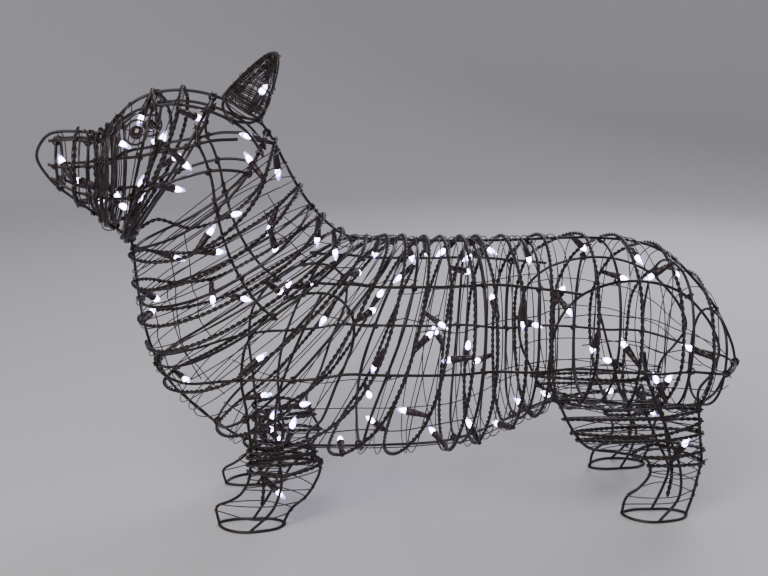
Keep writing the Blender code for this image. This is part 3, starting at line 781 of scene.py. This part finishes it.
def wound_string(turns, swell=CABLE_SWELL):
    """A string wound round the cage: its points, each with the middle of the cage there."""
    route = []
    for i, left in enumerate(turns):
        ends_here = i + 1 == len(turns)
        for turn, side in ((left, 1),) if ends_here else ((left, 1), (right_turns(turns)[i], -1)):
            met = crossed_angles(turn)
            angles = filled(met, CABLE_ARC)
            angles = angles if ends_here else angles[:-1] if side == 1 else angles[:0:-1]
            for angle in angles:
                s = turn_station(turn, angle)
                spot = skin(s, angle, CABLE_LIFT if angle in met else CABLE_LIFT + swell)
                route.append((Vector((spot.x, side * spot.y, spot.z)), middle_of(s)))
    return route


def leg_string(feet, foot_x, crossing_station, rise):
    """A string up inside one leg, over the belly wire and down inside the other."""
    left, right = (
        [Vector((foot_x + ahead, out * FOOT_TRACK[foot] * share, z)) * MM for ahead, share, z in rise]
        for foot, out in zip(feet, (-1, 1))
    )
    points = [*left, skin(crossing_station, 180, -CABLE_LIFT), *right[::-1]]
    return [(point, point + Vector((1, 0, 0))) for point in points]


def on_route(route, distance):
    """The point this far along the route, the route's direction and the middle of the cage there."""
    for (a, a_middle), (b, b_middle) in zip(route, route[1:]):
        length = (b - a).length
        if distance <= length:
            t = distance / length
            return a.lerp(b, t), (b - a).normalized(), a_middle.lerp(b_middle, t)
        distance -= length
    return b, (b - a).normalized(), b_middle


def clearance(base, tip, own):
    """The least room between the line from base to tip and any wire or lamp laid so far but its own."""
    probes = np.array([base.lerp(tip, t) for t in LAMP_PROBES])
    least = math.inf
    for name, points, radius in LAID:
        if name == own:
            continue
        line = np.array(points)
        start, run = line[:-1], np.diff(line, axis=0)
        t = ((probes[:, None] - start) * run).sum(2) / (run * run).sum(1)
        near = start + run * np.clip(t, 0, 1)[..., None]
        least = min(least, float(np.linalg.norm(probes[:, None] - near, axis=2).min()) - radius)
    return least


def inside_body(point):
    """Whether the point lies well inside the cage, in one of the skin's sections that it lies close to."""
    low_x, low_z, high_x, high_z, half = SECTIONS.T
    axis_x, axis_z = (high_x - low_x) / 2, (high_z - low_z) / 2
    away_x, away_z = point.x - (low_x + high_x) / 2, point.z - (low_z + high_z) / 2
    length = np.hypot(axis_x, axis_z)
    aside = np.abs(away_x * axis_z - away_z * axis_x) / length
    share = ((away_x * axis_x + away_z * axis_z) / length**2) ** 2 + (point.y / half) ** 2
    return bool((share[aside < SECTION_REACH * MM] < LAMP_DEPTH).any())


def inside_leg(point, base):
    """Whether the point lies between the leg's wires, above the ground."""
    return abs(point.y - base.y) < LEG_LAMP_SWAY * MM and point.z > LAMP_FLOOR * MM


def lamp_way(base, run, middle, count, own):
    """The way a lamp leans into the cage or the leg from this spot, clear of everything, or None."""
    inward = middle - base
    inward = (inward - run * inward.dot(run)).normalized()
    across = inward.cross(run)
    for lean in LAMP_LEANS:
        for k in range(LAMP_TURNS):
            turn = 2 * math.pi * (k + count * LAMP_STRIDE) / LAMP_TURNS
            way = (inward * lean + run * math.cos(turn) + across * math.sin(turn)).normalized()
            tip = base + way * LAMP_LENGTH * MM
            held = inside_leg(tip, base) if own.endswith("legs") else inside_body(tip)
            if held and clearance(base, tip, own) > LAMP_CLEARANCE * MM:
                return way
    return None


def lamps_on(route, own, pitch):
    """Base and direction of each lamp on this string. One without room moves along, or is left out."""
    whole = sum((b[0] - a[0]).length for a, b in zip(route, route[1:])) / MM
    found = []
    for count in range(int(whole / pitch)):
        for shift in LAMP_SHIFTS:
            base, run, middle = on_route(route, ((count + 0.5) * pitch + shift) * MM)
            way = lamp_way(base, run, middle, count, own)
            if way:
                found.append((base, way))
                tip = base + way * LAMP_LENGTH * MM
                LAID.append(("lamp", [base.lerp(tip, LAMP_FOOT), tip], SOCKET_WIDTH / 2 * MM))
                break
    return found


def twisted_pair(points, aside):
    """The two strands of a pair twisted along these points. aside is a direction off the path."""
    line = smooth_path(points, STRAND_STEP)
    strands = ([], [])
    gone = 0.0
    side = aside
    for i, point in enumerate(line):
        run = (line[min(i + 1, len(line) - 1)] - line[max(i - 1, 0)]).normalized()
        side = (side - run * side.dot(run)).normalized()
        other = run.cross(side)
        turn = 2 * math.pi * gone / (TWIST * MM)
        off = (side * math.cos(turn) + other * math.sin(turn)) * STRAND / 2 * MM
        strands[0].append(point + off)
        strands[1].append(point - off)
        if i + 1 < len(line):
            gone += (line[i + 1] - point).length
    return [(strand, False) for strand in strands]


# Extruded PVC on stranded copper: an even dark brown with a satin shine, a little browner than the
# dipped rod, and faint rubbed marks.
MARK_SIZE = 3.0

cable_pvc, tree, shader, place = new_finish("extruded_brown_pvc")
marks = add_node(
    tree, "ShaderNodeTexNoise", {"Scale": per_metre(MARK_SIZE), "Detail": 5.0}, [("Vector", place, "Object")]
)
rubbed = add_node(tree, "ShaderNodeValToRGB", {}, [("Fac", marks, "Fac")])
rubbed.color_ramp.elements[0].position = 0.3
rubbed.color_ramp.elements[0].color = linear("#110b0a")
rubbed.color_ramp.elements[1].position = 0.8
rubbed.color_ramp.elements[1].color = linear("#2b1d1a")
shine = add_node(tree, "ShaderNodeMapRange", {"To Min": 0.3, "To Max": 0.48}, [("Value", marks, "Fac")])
tree.links.new(rubbed.outputs["Color"], shader.inputs["Base Color"])
tree.links.new(shine.outputs["Result"], shader.inputs["Roughness"])
shader.inputs["IOR"].default_value = 1.52

FRONT_FEET, HIND_FEET = ("front_left", "front_right"), ("hind_left", "hind_right")
WOUND = {"light_string_body": BODY_TURNS, "light_string_head_and_neck": HEAD_TURNS}
ROUTES = {
    **{node: wound_string(turns) for node, turns in WOUND.items()},
    "light_string_front_legs": leg_string(FRONT_FEET, FRONT_FOOT_X, FRONT_STRING_CROSSING, FRONT_STRING_RISE),
    "light_string_hind_legs": leg_string(HIND_FEET, HIND_FOOT_X, HIND_STRING_CROSSING, HIND_STRING_RISE),
}
for node, route in ROUTES.items():
    points = [point for point, _ in route]
    LAID.append((node, points, CABLE / 2 * MM))
    # The real pair is pulled tight between the rods, closer in than the straight runs of the solid
    if node in WOUND:
        points = [point for point, _ in wound_string(WOUND[node], -PULLED_IN)]
    strands = twisted_pair(points, STRAND_SIDE)
    pair = bent_wires(node + "_pair", strands, STRAND, cable_pvc, 1)
    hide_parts(node)
LAMPS = {
    node: lamps_on(route, node, LEG_LAMP_PITCH if node.endswith("legs") else LAMP_PITCH)
    for node, route in ROUTES.items()
}

# The head has more lamps than the even pitch gives. Each is the station and angle of its foot and of
# its bulb, which hangs this far inside the skin.
HEAD_LAMPS = (
    ((1.0, 105), (0.4, 75)), ((1.9, 95), (1.0, 108)), ((4.9, 84), (4.9, 57)), ((4.75, 115), (4.5, 93)),
    ((7.52, 15), (6.4, 42)), ((8.05, 45), (6.7, 42)), ((5.3, 95), (6.6, 93)), ((5.27, 74), (6.2, 81)),
    ((8.6, 98), (8.1, 81)),
)
HEAD_LAMP_DEPTH = 9.0
for foot_spot, bulb_spot in HEAD_LAMPS:
    foot = skin(*foot_spot, CABLE_LIFT)
    bulb = skin(*bulb_spot, -HEAD_LAMP_DEPTH)
    LAMPS["light_string_head_and_neck"].append((foot, (bulb - foot).normalized()))

# Ear strings: a loop of the same pair runs up inside the front edge of each ear and down inside its back
# edge, tied in with the web. The left ear has a lamp of its own.

EAR_STRING_OUT = 2.6
EAR_LAMP_OUT = 6.5

# Share of the way from the front edge to the back one, and share of the height
EAR_STRING = ((0.16, 0.03), (0.2, 0.35), (0.32, 0.68), (0.5, 0.88), (0.66, 0.68), (0.74, 0.35), (0.7, 0.03))
EAR_LAMP = ((0.66, 0.12), (0.9, 0.66))


def along_line(points, share):
    """The point at this share of the line's length."""
    whole = sum((b - a).length for a, b in zip(points, points[1:])) * share
    for a, b in zip(points, points[1:]):
        if whole <= (b - a).length:
            return a.lerp(b, whole / (b - a).length)
        whole -= (b - a).length
    return points[-1]


front_line = EAR_LOOP[3:6]
back_line = [EAR_LOOP[0], back_edge, back_tip]
ear_face = (front_line[-1] - front_line[0]).cross(back_line[0] - front_line[0]).normalized()
if ear_face.y > 0:
    ear_face.negate()


def across_ear(share, height, out=0.0):
    """The point at these shares of the ear's width and height, this many millimetres out of its face."""
    return along_line(front_line, height).lerp(along_line(back_line, height), share) + ear_face * out * MM


ear_run = [across_ear(share, height, EAR_STRING_OUT) for share, height in EAR_STRING]
for side, points in (("left", ear_run), ("right", mirrored(ear_run))):
    strands = twisted_pair(points, STRAND_SIDE)
    bent_wires(f"ear_string_{side}", strands, STRAND, cable_pvc, 1)
socket_foot, bulb_end = (across_ear(*spot, EAR_LAMP_OUT) for spot in EAR_LAMP)
LAMPS["light_string_head_and_neck"].append((socket_foot, (bulb_end - socket_foot).normalized()))

# Sockets: tapered brown plastic cups, moulded in one, that grip the end of a wire of the pair in their
# narrow foot and the bulb's base in their mouth. They have a rolled rim and two grip rings.

SOCKET_SIDES = 16
SOCKET_PROFILE = (
    (0.6, 0), (0.6, 1.9), (1.2, 2.3), (7.0, 2.6), (7.4, 2.95), (8.4, 2.95), (8.8, 2.7), (13.5, 3.2),
    (13.9, 3.5), (14.9, 3.5), (15.3, 3.35), (20.6, 3.7), (21.0, 4.0), (22.6, 4.0), (23.0, 3.75),
    (23.0, 3.1), (20.0, 2.9), (20.0, 0),
)

# Injection-moulded polypropylene: plum-brown, waxy, with a fine sparked grain from the mould. The grain
# is drawn several times coarser than the real one, which would be too fine to show.
GRAIN_SIZE = 0.8
TONE_SIZE = 20.0

socket_plastic, tree, shader, place = new_finish("moulded_brown_polypropylene")
grain = add_node(
    tree, "ShaderNodeTexNoise", {"Scale": per_metre(GRAIN_SIZE), "Detail": 2.0}, [("Vector", place, "Object")]
)
tone = add_node(
    tree, "ShaderNodeTexNoise", {"Scale": per_metre(TONE_SIZE), "Detail": 2.0}, [("Vector", place, "Object")]
)
plum = add_node(tree, "ShaderNodeValToRGB", {}, [("Fac", tone, "Fac")])
plum.color_ramp.elements[0].color = linear("#1f1317")
plum.color_ramp.elements[1].color = linear("#35232a")
relief = add_node(
    tree, "ShaderNodeBump", {"Strength": 0.35, "Distance": 0.08 * MM}, [("Height", grain, "Fac")]
)
tree.links.new(plum.outputs["Color"], shader.inputs["Base Color"])
tree.links.new(relief.outputs["Normal"], shader.inputs["Normal"])
shader.inputs["Roughness"].default_value = 0.38

# Bulbs: blown clear glass drawn to a point, seated in the mouth of the socket. The lit filament inside
# is a bright bead of cool white, and the glass round it gleams violet.

BULB_SIDES = 14
GLASS_PROFILE = (
    (20.6, 0), (20.6, 2.4), (22.0, 2.8), (24.0, 3.15), (27.0, 3.2), (29.5, 2.9), (31.5, 2.2), (33.3, 1.3),
    (34.5, 0.5), (35.0, 0),
)
GLOW_PROFILE = ((22.0, 0), (22.6, 1.0), (24.2, 1.7), (26.2, 1.9), (28.2, 1.5), (29.8, 0.9), (31.0, 0))
GLOW_SIDES = 10
GLOW_STRENGTH = 16.0
GLASS_GLEAM = 0.75

# Clear glass: it shows by its rim and its highlights, and takes a violet gleam from the filament.
bulb_glass, _, shader, _ = new_finish("blown_clear_glass")
shader.inputs["Base Color"].default_value = linear("#f2f0ff")
shader.inputs["Roughness"].default_value = 0.03
shader.inputs["IOR"].default_value = 1.45
shader.inputs["Transmission Weight"].default_value = 1.0
shader.inputs["Emission Color"].default_value = linear("#9a84ff")
shader.inputs["Emission Strength"].default_value = GLASS_GLEAM

# The filament's own light: plain white, a touch towards violet.
filament_glow, _, shader, _ = new_finish("lit_filament")
shader.inputs["Base Color"].default_value = linear("#ffffff")
shader.inputs["Emission Color"].default_value = linear("#e9e4ff")
shader.inputs["Emission Strength"].default_value = GLOW_STRENGTH

for node, lamps in LAMPS.items():
    for part, profile, sides, look, slot in (
        ("sockets", SOCKET_PROFILE, SOCKET_SIDES, socket_plastic, "cable"),
        ("filaments", GLOW_PROFILE, GLOW_SIDES, filament_glow, "bulb"),
        ("bulbs", GLASS_PROFILE, BULB_SIDES, bulb_glass, "bulb"),
    ):
        work = bmesh.new()
        for base, way in lamps:
            turned(work, profile, base, way, sides)
        piece = mesh_piece(node.replace("light_string", part), work, look)
        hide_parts(node)

# Tie wires: thin annealed wire, dipped with the frame, wound round the cage between the strings to
# close it. It is bent by hand, so that its turns are uneven, and some runs go lengthwise.

TIE_WIRE = 1.2
TIE_TOUCH = 0.1
TIE_LIFT = (FRAME_WIRE + TIE_WIRE) / 2 + TIE_TOUCH
TIE_SLACK = 0.9
TIE_STEP = 7.0
TIE_ARC = 24.0
TIE_SPACING = (0.6, 1.4)

# Region, first and last station, spacing and unevenness, in stations
TIE_TURNS = (
    ("muzzle", 0.5, 2.0, 0.36, 0.08),
    ("stop", 2.1, 2.6, 0.06, 0.03),
    ("head", 3.1, 5.8, 1.0, 0.25),
    ("neck", 7.7, 11.4, 0.45, 0.22),
    ("body", 11.8, 25.4, 0.45, 0.26),
)

# Lengthwise runs: start and end as station and angle
TIE_RUNS = (
    ((20.9, 76), (26.7, 80)), ((21.4, 90), (26.6, 93)), ((20.4, 118), (26.2, 112)),
    ((19.2, 132), (25.4, 138)), ((12.2, 74), (16.4, 66)), ((12.8, 128), (18.2, 118)),
    ((14.0, 146), (20.6, 140)), ((8.2, 112), (12.0, 128)), ((8.6, 56), (12.6, 40)),
    ((15.8, 74), (21.2, 70)), ((9.4, 138), (13.2, 152)),
)
TIE_RUN_POINTS = 9
TIE_RUN_LIFT = -1.2

# How far a lengthwise run strays, in degrees round the cage and in millimetres in and out
TIE_RUN_SWAY = (-2, 2)
TIE_RUN_WAVER = (-0.8, 0.6)

# Annealed wire in the same dip: the skin is thinner, so the colour is a little paler and the shine even.
TIE_DUST_SIZE = 6.0

dipped_tie_wire, tree, shader, place = new_finish("vinyl_dipped_tie_wire")
dust = add_node(
    tree, "ShaderNodeTexNoise", {"Scale": per_metre(TIE_DUST_SIZE), "Detail": 4.0},
    [("Vector", place, "Object")],
)
dusty = add_node(tree, "ShaderNodeValToRGB", {}, [("Fac", dust, "Fac")])
dusty.color_ramp.elements[0].color = linear("#150e0d")
dusty.color_ramp.elements[1].color = linear("#3b2a25")
tree.links.new(dusty.outputs["Color"], shader.inputs["Base Color"])
shader.inputs["Roughness"].default_value = 0.34

chance = random.Random(7)


def tie_round(s, lean):
    """One turn of thin wire round the cage at about station s."""
    turn = tuple(s + chance.uniform(-lean, lean) for _ in range(3))
    onward = tuple(s + chance.uniform(-lean, lean) for _ in range(3))
    onward = (turn[0], onward[1], turn[2])
    points = []
    for way, side in ((turn, 1), (onward, -1)):
        met = crossed_angles(way)
        angles = filled(met, TIE_ARC)
        for angle in angles[:-1] if side == 1 else angles[:0:-1]:
            lift = TIE_LIFT if angle in met else TIE_LIFT - TIE_SLACK * chance.uniform(0, 2)
            spot = skin(turn_station(way, angle), angle, lift)
            points.append(Vector((spot.x, side * spot.y, spot.z)))
    return smooth_path(points, TIE_STEP, True), True


for region, start, end, spacing, lean in TIE_TURNS:
    lines = []
    s = start
    while s < end:
        lines.append(tie_round(s, lean))
        s += spacing * chance.uniform(*TIE_SPACING)
    bent_wires(f"tie_wire_round_{region}", lines, TIE_WIRE, dipped_tie_wire, 1)
lines = []
for start, end in TIE_RUNS:
    for side in (1, -1):
        points = []
        for i in range(TIE_RUN_POINTS):
            t = i / (TIE_RUN_POINTS - 1)
            s = start[0] + (end[0] - start[0]) * t
            angle = start[1] + (end[1] - start[1]) * t + chance.uniform(*TIE_RUN_SWAY)
            spot = skin(s, angle, TIE_RUN_LIFT + chance.uniform(*TIE_RUN_WAVER))
            points.append(Vector((spot.x, side * spot.y, spot.z)))
        lines.append((smooth_path(points, TIE_STEP), False))
bent_wires("tie_wire_lengthwise", lines, TIE_WIRE, dipped_tie_wire, 1)

# Leg wraps: the thin wire is wound loosely round the rods of each leg from the foot up. A spare length of
# the lights' pair is bound round its top, where the leg meets the belly.

WRAP_OUT = 2.1
WRAP_STEP = 5.0
WRAP_SPACING = (0.6, 1.5)
BINDING_OUT = 3.4
BINDING_SIDE = Vector((0, 0.1, 1))

# First and last height, rise of a turn and its unevenness, in millimetres
LEG_WRAPS = {"front": (14, 92, 12, 5), "hind": (16, 126, 12, 6)}
LEG_BINDINGS = {"front": (60, 90, 8, 4), "hind": (58, 108, 12, 8)}


def at_height(line, height):
    """The first point at this height, going up the line, or None."""
    for a, b in zip(line, line[1:]):
        if a.z <= height < b.z:
            return a.lerp(b, (height - a.z) / (b.z - a.z))
    return None


def wound_leg(lines, start, stop, rise, waver, out):
    """The points of a winding round the rods of a leg, this far out from them."""
    leg_loop, outer, inner = lines
    corners = (leg_loop, outer, leg_loop[::-1], inner)
    points = []
    z = start
    while z < stop:
        spots = [
            at_height(line, (z + k * rise / len(corners) + chance.uniform(-waver, waver)) * MM)
            for k, line in enumerate(corners)
        ]
        spots = [spot for spot in spots if spot]
        centre = sum(spots, Vector()) / len(spots)
        for spot in spots:
            off = spot - centre
            off.z = 0
            points.append(spot + off.normalized() * out * MM)
        z += rise * chance.uniform(*WRAP_SPACING)
    return points


for foot_name, rods in LEG_LINES.items():
    end = foot_name.split("_")[0]
    wrap = smooth_path(wound_leg(rods, *LEG_WRAPS[end], WRAP_OUT), WRAP_STEP)
    bent_wires(f"tie_wire_round_{foot_name}_leg", [(wrap, False)], TIE_WIRE, dipped_tie_wire, 1)
    binding = twisted_pair(wound_leg(rods, *LEG_BINDINGS[end], BINDING_OUT), BINDING_SIDE)
    bent_wires(f"binding_round_{foot_name}_leg", binding, STRAND, cable_pvc, 1)

# Ear webs: thin wires run up each ear from its foot to its tip, a few slanted laces hold them, and tight
# turns bind the foot.

WEB_SWAY = 2.2
WEB_STEP = 4.0
EAR_STRANDS = 7
EAR_LACES = 5
EAR_BINDINGS = 6

# Shares of the ear's height: where a strand is bent, then the start, span and slant of the laces and of
# the turns that bind the foot
STRAND_HEIGHTS = (0.02, 0.25, 0.5, 0.75, 0.97)
LACE_START = 0.3
LACE_SPAN = 0.6
LACE_SLANT = (0.02, 0.14)
EAR_BINDING_START = 0.02
EAR_BINDING_SPAN = 0.24
EAR_BINDING_SLANT = (0.0, 0.08)

# How far a strand strays, as a share of the ear's width, and how far past an edge a lap comes on its
# near side, as a share of its reach on the other
STRAND_STRAY = 0.12
LAP_TUCK = 0.6


def lap(low, high):
    """A turn of wire round both edges of the ear, from one share of its height to another."""
    front, back = along_line(front_line, low), along_line(back_line, high)
    beyond = (front - back).normalized() * WRAP_OUT * MM
    proud = ear_face * WRAP_OUT * MM
    return [
        front + beyond * LAP_TUCK + proud,
        front + beyond - proud,
        back - beyond * LAP_TUCK - proud,
        back - beyond + proud,
    ]


web = []
for k in range(EAR_STRANDS):
    share = (k + 0.5) / EAR_STRANDS
    points = []
    for height in STRAND_HEIGHTS:
        aside = share + chance.uniform(-STRAND_STRAY, STRAND_STRAY)
        points.append(across_ear(aside, height, chance.uniform(-WEB_SWAY, WEB_SWAY)))
    web.append((smooth_path(points, WEB_STEP), False))
laces = []
for k in range(EAR_LACES):
    height = LACE_START + LACE_SPAN * k / (EAR_LACES - 1)
    laces += lap(height, min(height + chance.uniform(*LACE_SLANT), STRAND_HEIGHTS[-1]))
binding = []
for k in range(EAR_BINDINGS):
    height = EAR_BINDING_START + EAR_BINDING_SPAN * k / EAR_BINDINGS
    binding += lap(height, height + chance.uniform(*EAR_BINDING_SLANT))
web += [(smooth_path(laces, WEB_STEP), False), (smooth_path(binding, WEB_STEP), False)]
for side in ("left", "right"):
    lines = web if side == "left" else [(mirrored(line), closed) for line, closed in web]
    bent_wires(f"tie_wire_in_ear_{side}", lines, TIE_WIRE, dipped_tie_wire, 1)

# Loose ends: the thin wire ends in a small hook under the jaw and in a stub behind each hind leg, as the
# hand that wound it left them.

JAW_HOOK = ((2.75, 164, 0.5), (2.6, 160, 5.0), (2.35, 157, 7.0), (2.15, 154, 4.5), (2.1, 152, 1.0))
HOOK_STEP = 2.0
STUB_HEIGHT = 60.0
STUB_LENGTH = 7.0
STUB_RISE = STUB_LENGTH / 3

hook = [skin(s, angle, lift) for s, angle, lift in JAW_HOOK]
lines = [(smooth_path(hook, HOOK_STEP), False)]
for foot_name in HIND_FEET:
    root = at_height(LEG_LINES[foot_name][0][::-1], STUB_HEIGHT * MM)
    lines.append(([root, root + Vector((STUB_LENGTH, 0, STUB_RISE)) * MM], False))
bent_wires("loose_ends", lines, TIE_WIRE, dipped_tie_wire, 1)

# Knots: where two rods meet, three tight turns of the thin wire bind them. It is snipped off by hand, so
# that its ends stick out unevenly.

KNOT_REACH = 5.7
KNOT_SPREAD = 18.0
KNOT_TURNS = 3
KNOT_POINTS = 9
KNOT_PITCH = 1.15

# Only rods whose boxes come this close can meet, and this many of their closest pairs of points are tried
BOX_REACH = 8.0
KNOT_TRIES = 400

# How much wider a knot is where rods cross squarely, in millimetres, and the gap in metres under which
# their centre lines count as meeting
CROSSED_WIDTH = 1.6
CENTRES_MEET = 1e-5

# How far the ends of a knot stick out, and stray along it and across it, in millimetres
KNOT_END_OUT = (0.3, 1.5)
KNOT_END_ALONG = (-2.5, 2.5)
KNOT_END_ACROSS = (-2, 2)


def meetings(a_line, b_line):
    """Where two rods meet: the spot, the index of the point in each line and the gap between them."""
    gap = np.linalg.norm(a_line[:, None] - b_line[None], axis=2)
    found = []
    for flat in np.argsort(gap, axis=None)[:KNOT_TRIES]:
        p, q = np.unravel_index(flat, gap.shape)
        if gap[p, q] > KNOT_REACH * MM:
            break
        spot = (a_line[p] + b_line[q]) / 2
        if all(np.linalg.norm(spot - other[0]) > KNOT_SPREAD * MM for other in found):
            found.append((spot, p, q, gap[p, q]))
    return found


def run_at(line, i):
    """The direction of the line at its point i."""
    return Vector(line[min(i + 1, len(line) - 1)] - line[max(i - 1, 0)]).normalized()


def knot(a_line, b_line, spot, p, q, gap):
    """The points of a wire that binds two rods where they meet."""
    run_a, run_b = run_at(a_line, p), run_at(b_line, q)
    if run_a.dot(run_b) < 0:
        run_b.negate()
    along = (run_a + run_b).normalized()
    between = Vector(a_line[p] - b_line[q])
    between = between - along * between.dot(along)
    through = (between if between.length > CENTRES_MEET else along.orthogonal()).normalized()
    across = along.cross(through)
    tall = gap / 2 / MM + (FRAME_WIRE + TIE_WIRE) / 2
    wide = (FRAME_WIRE + TIE_WIRE) / 2 + run_a.cross(run_b).length * CROSSED_WIDTH
    line = []
    for n in range(KNOT_TURNS * KNOT_POINTS + 1):
        turn = 2 * math.pi * n / KNOT_POINTS
        shift = (n / KNOT_POINTS - KNOT_TURNS / 2) * KNOT_PITCH
        line.append(Vector(spot) + (
            through * math.cos(turn) * tall + across * math.sin(turn) * wide + along * shift
        ) * MM)
    ends = []
    for last in (line[0], line[-1]):
        stick = (last - Vector(spot)).normalized() * chance.uniform(*KNOT_END_OUT)
        stick += along * chance.uniform(*KNOT_END_ALONG) + across * chance.uniform(*KNOT_END_ACROSS)
        ends.append(last + stick * MM)
    return [ends[0], *line, ends[1]]


knots = []
rod_lines = [(name, np.array(line)) for name, line in RODS]
for i, (name, a_line) in enumerate(rod_lines):
    for other_name, b_line in rod_lines[i + 1:]:
        apart = np.maximum(a_line.min(0) - b_line.max(0), b_line.min(0) - a_line.max(0))
        if name != other_name and not (apart > BOX_REACH * MM).any():
            knots += [(knot(a_line, b_line, *met), False) for met in meetings(a_line, b_line)]
bent_wires("knots", knots, TIE_WIRE, dipped_tie_wire, 1)

# Floor and light: a plain pale floor that curves up into a wall far away all round, a large soft light
# above the dog's left side and a weaker one behind it. None of them is part of the dog.

FLOOR_RADIUS = 2200
WALL_BEND = 900
WALL_BEND_ANGLES = range(0, 91, 10)
WALL_TOP = 2600
FLOOR_SIDES = 96

work = bmesh.new()
bend = [math.radians(a) for a in WALL_BEND_ANGLES]
turned(
    work,
    [
        (0, 0),
        *((WALL_BEND * (1 - math.cos(t)), FLOOR_RADIUS + WALL_BEND * math.sin(t)) for t in bend),
        (WALL_TOP, FLOOR_RADIUS + WALL_BEND),
    ],
    Vector(), Vector((0, 0, 1)), FLOOR_SIDES,
)
floor_mesh = bpy.data.meshes.new("floor")
work.to_mesh(floor_mesh)
work.free()
floor_mesh.shade_smooth()
floor = bpy.data.objects.new("floor", floor_mesh)
bpy.context.scene.collection.objects.link(floor)
floor_paint, _, shader, _ = new_finish("matt_floor_paint")
shader.inputs["Base Color"].default_value = linear("#c9c8cc")
shader.inputs["Roughness"].default_value = 0.9
floor_mesh.materials.append(floor_paint)


def soft_light(name, place, target, size, power, colour):
    """A square soft light at place, turned to target."""
    lamp = bpy.data.lights.new(name, "AREA")
    lamp.size = size
    lamp.energy = power
    lamp.color = linear(colour)[:3]
    made = bpy.data.objects.new(name, lamp)
    made.location = place
    made.rotation_euler = (Vector(target) - Vector(place)).to_track_quat("-Z", "Y").to_euler()
    bpy.context.scene.collection.objects.link(made)


soft_light(
    "key_light", place=(-0.9, -1.5, 1.9), target=(0, 0, 0.2), size=1.6, power=48, colour="#fffaf4"
)
soft_light(
    "rim_light", place=(1.1, 1.3, 1.5), target=(0, 0, 0.25), size=1.0, power=26, colour="#f1f3ff"
)
world = bpy.data.worlds.new("studio")
world.use_nodes = True
world.node_tree.nodes["Background"].inputs["Color"].default_value = linear("#c6c6cc")
world.node_tree.nodes["Background"].inputs["Strength"].default_value = 0.35
bpy.context.scene.world = world
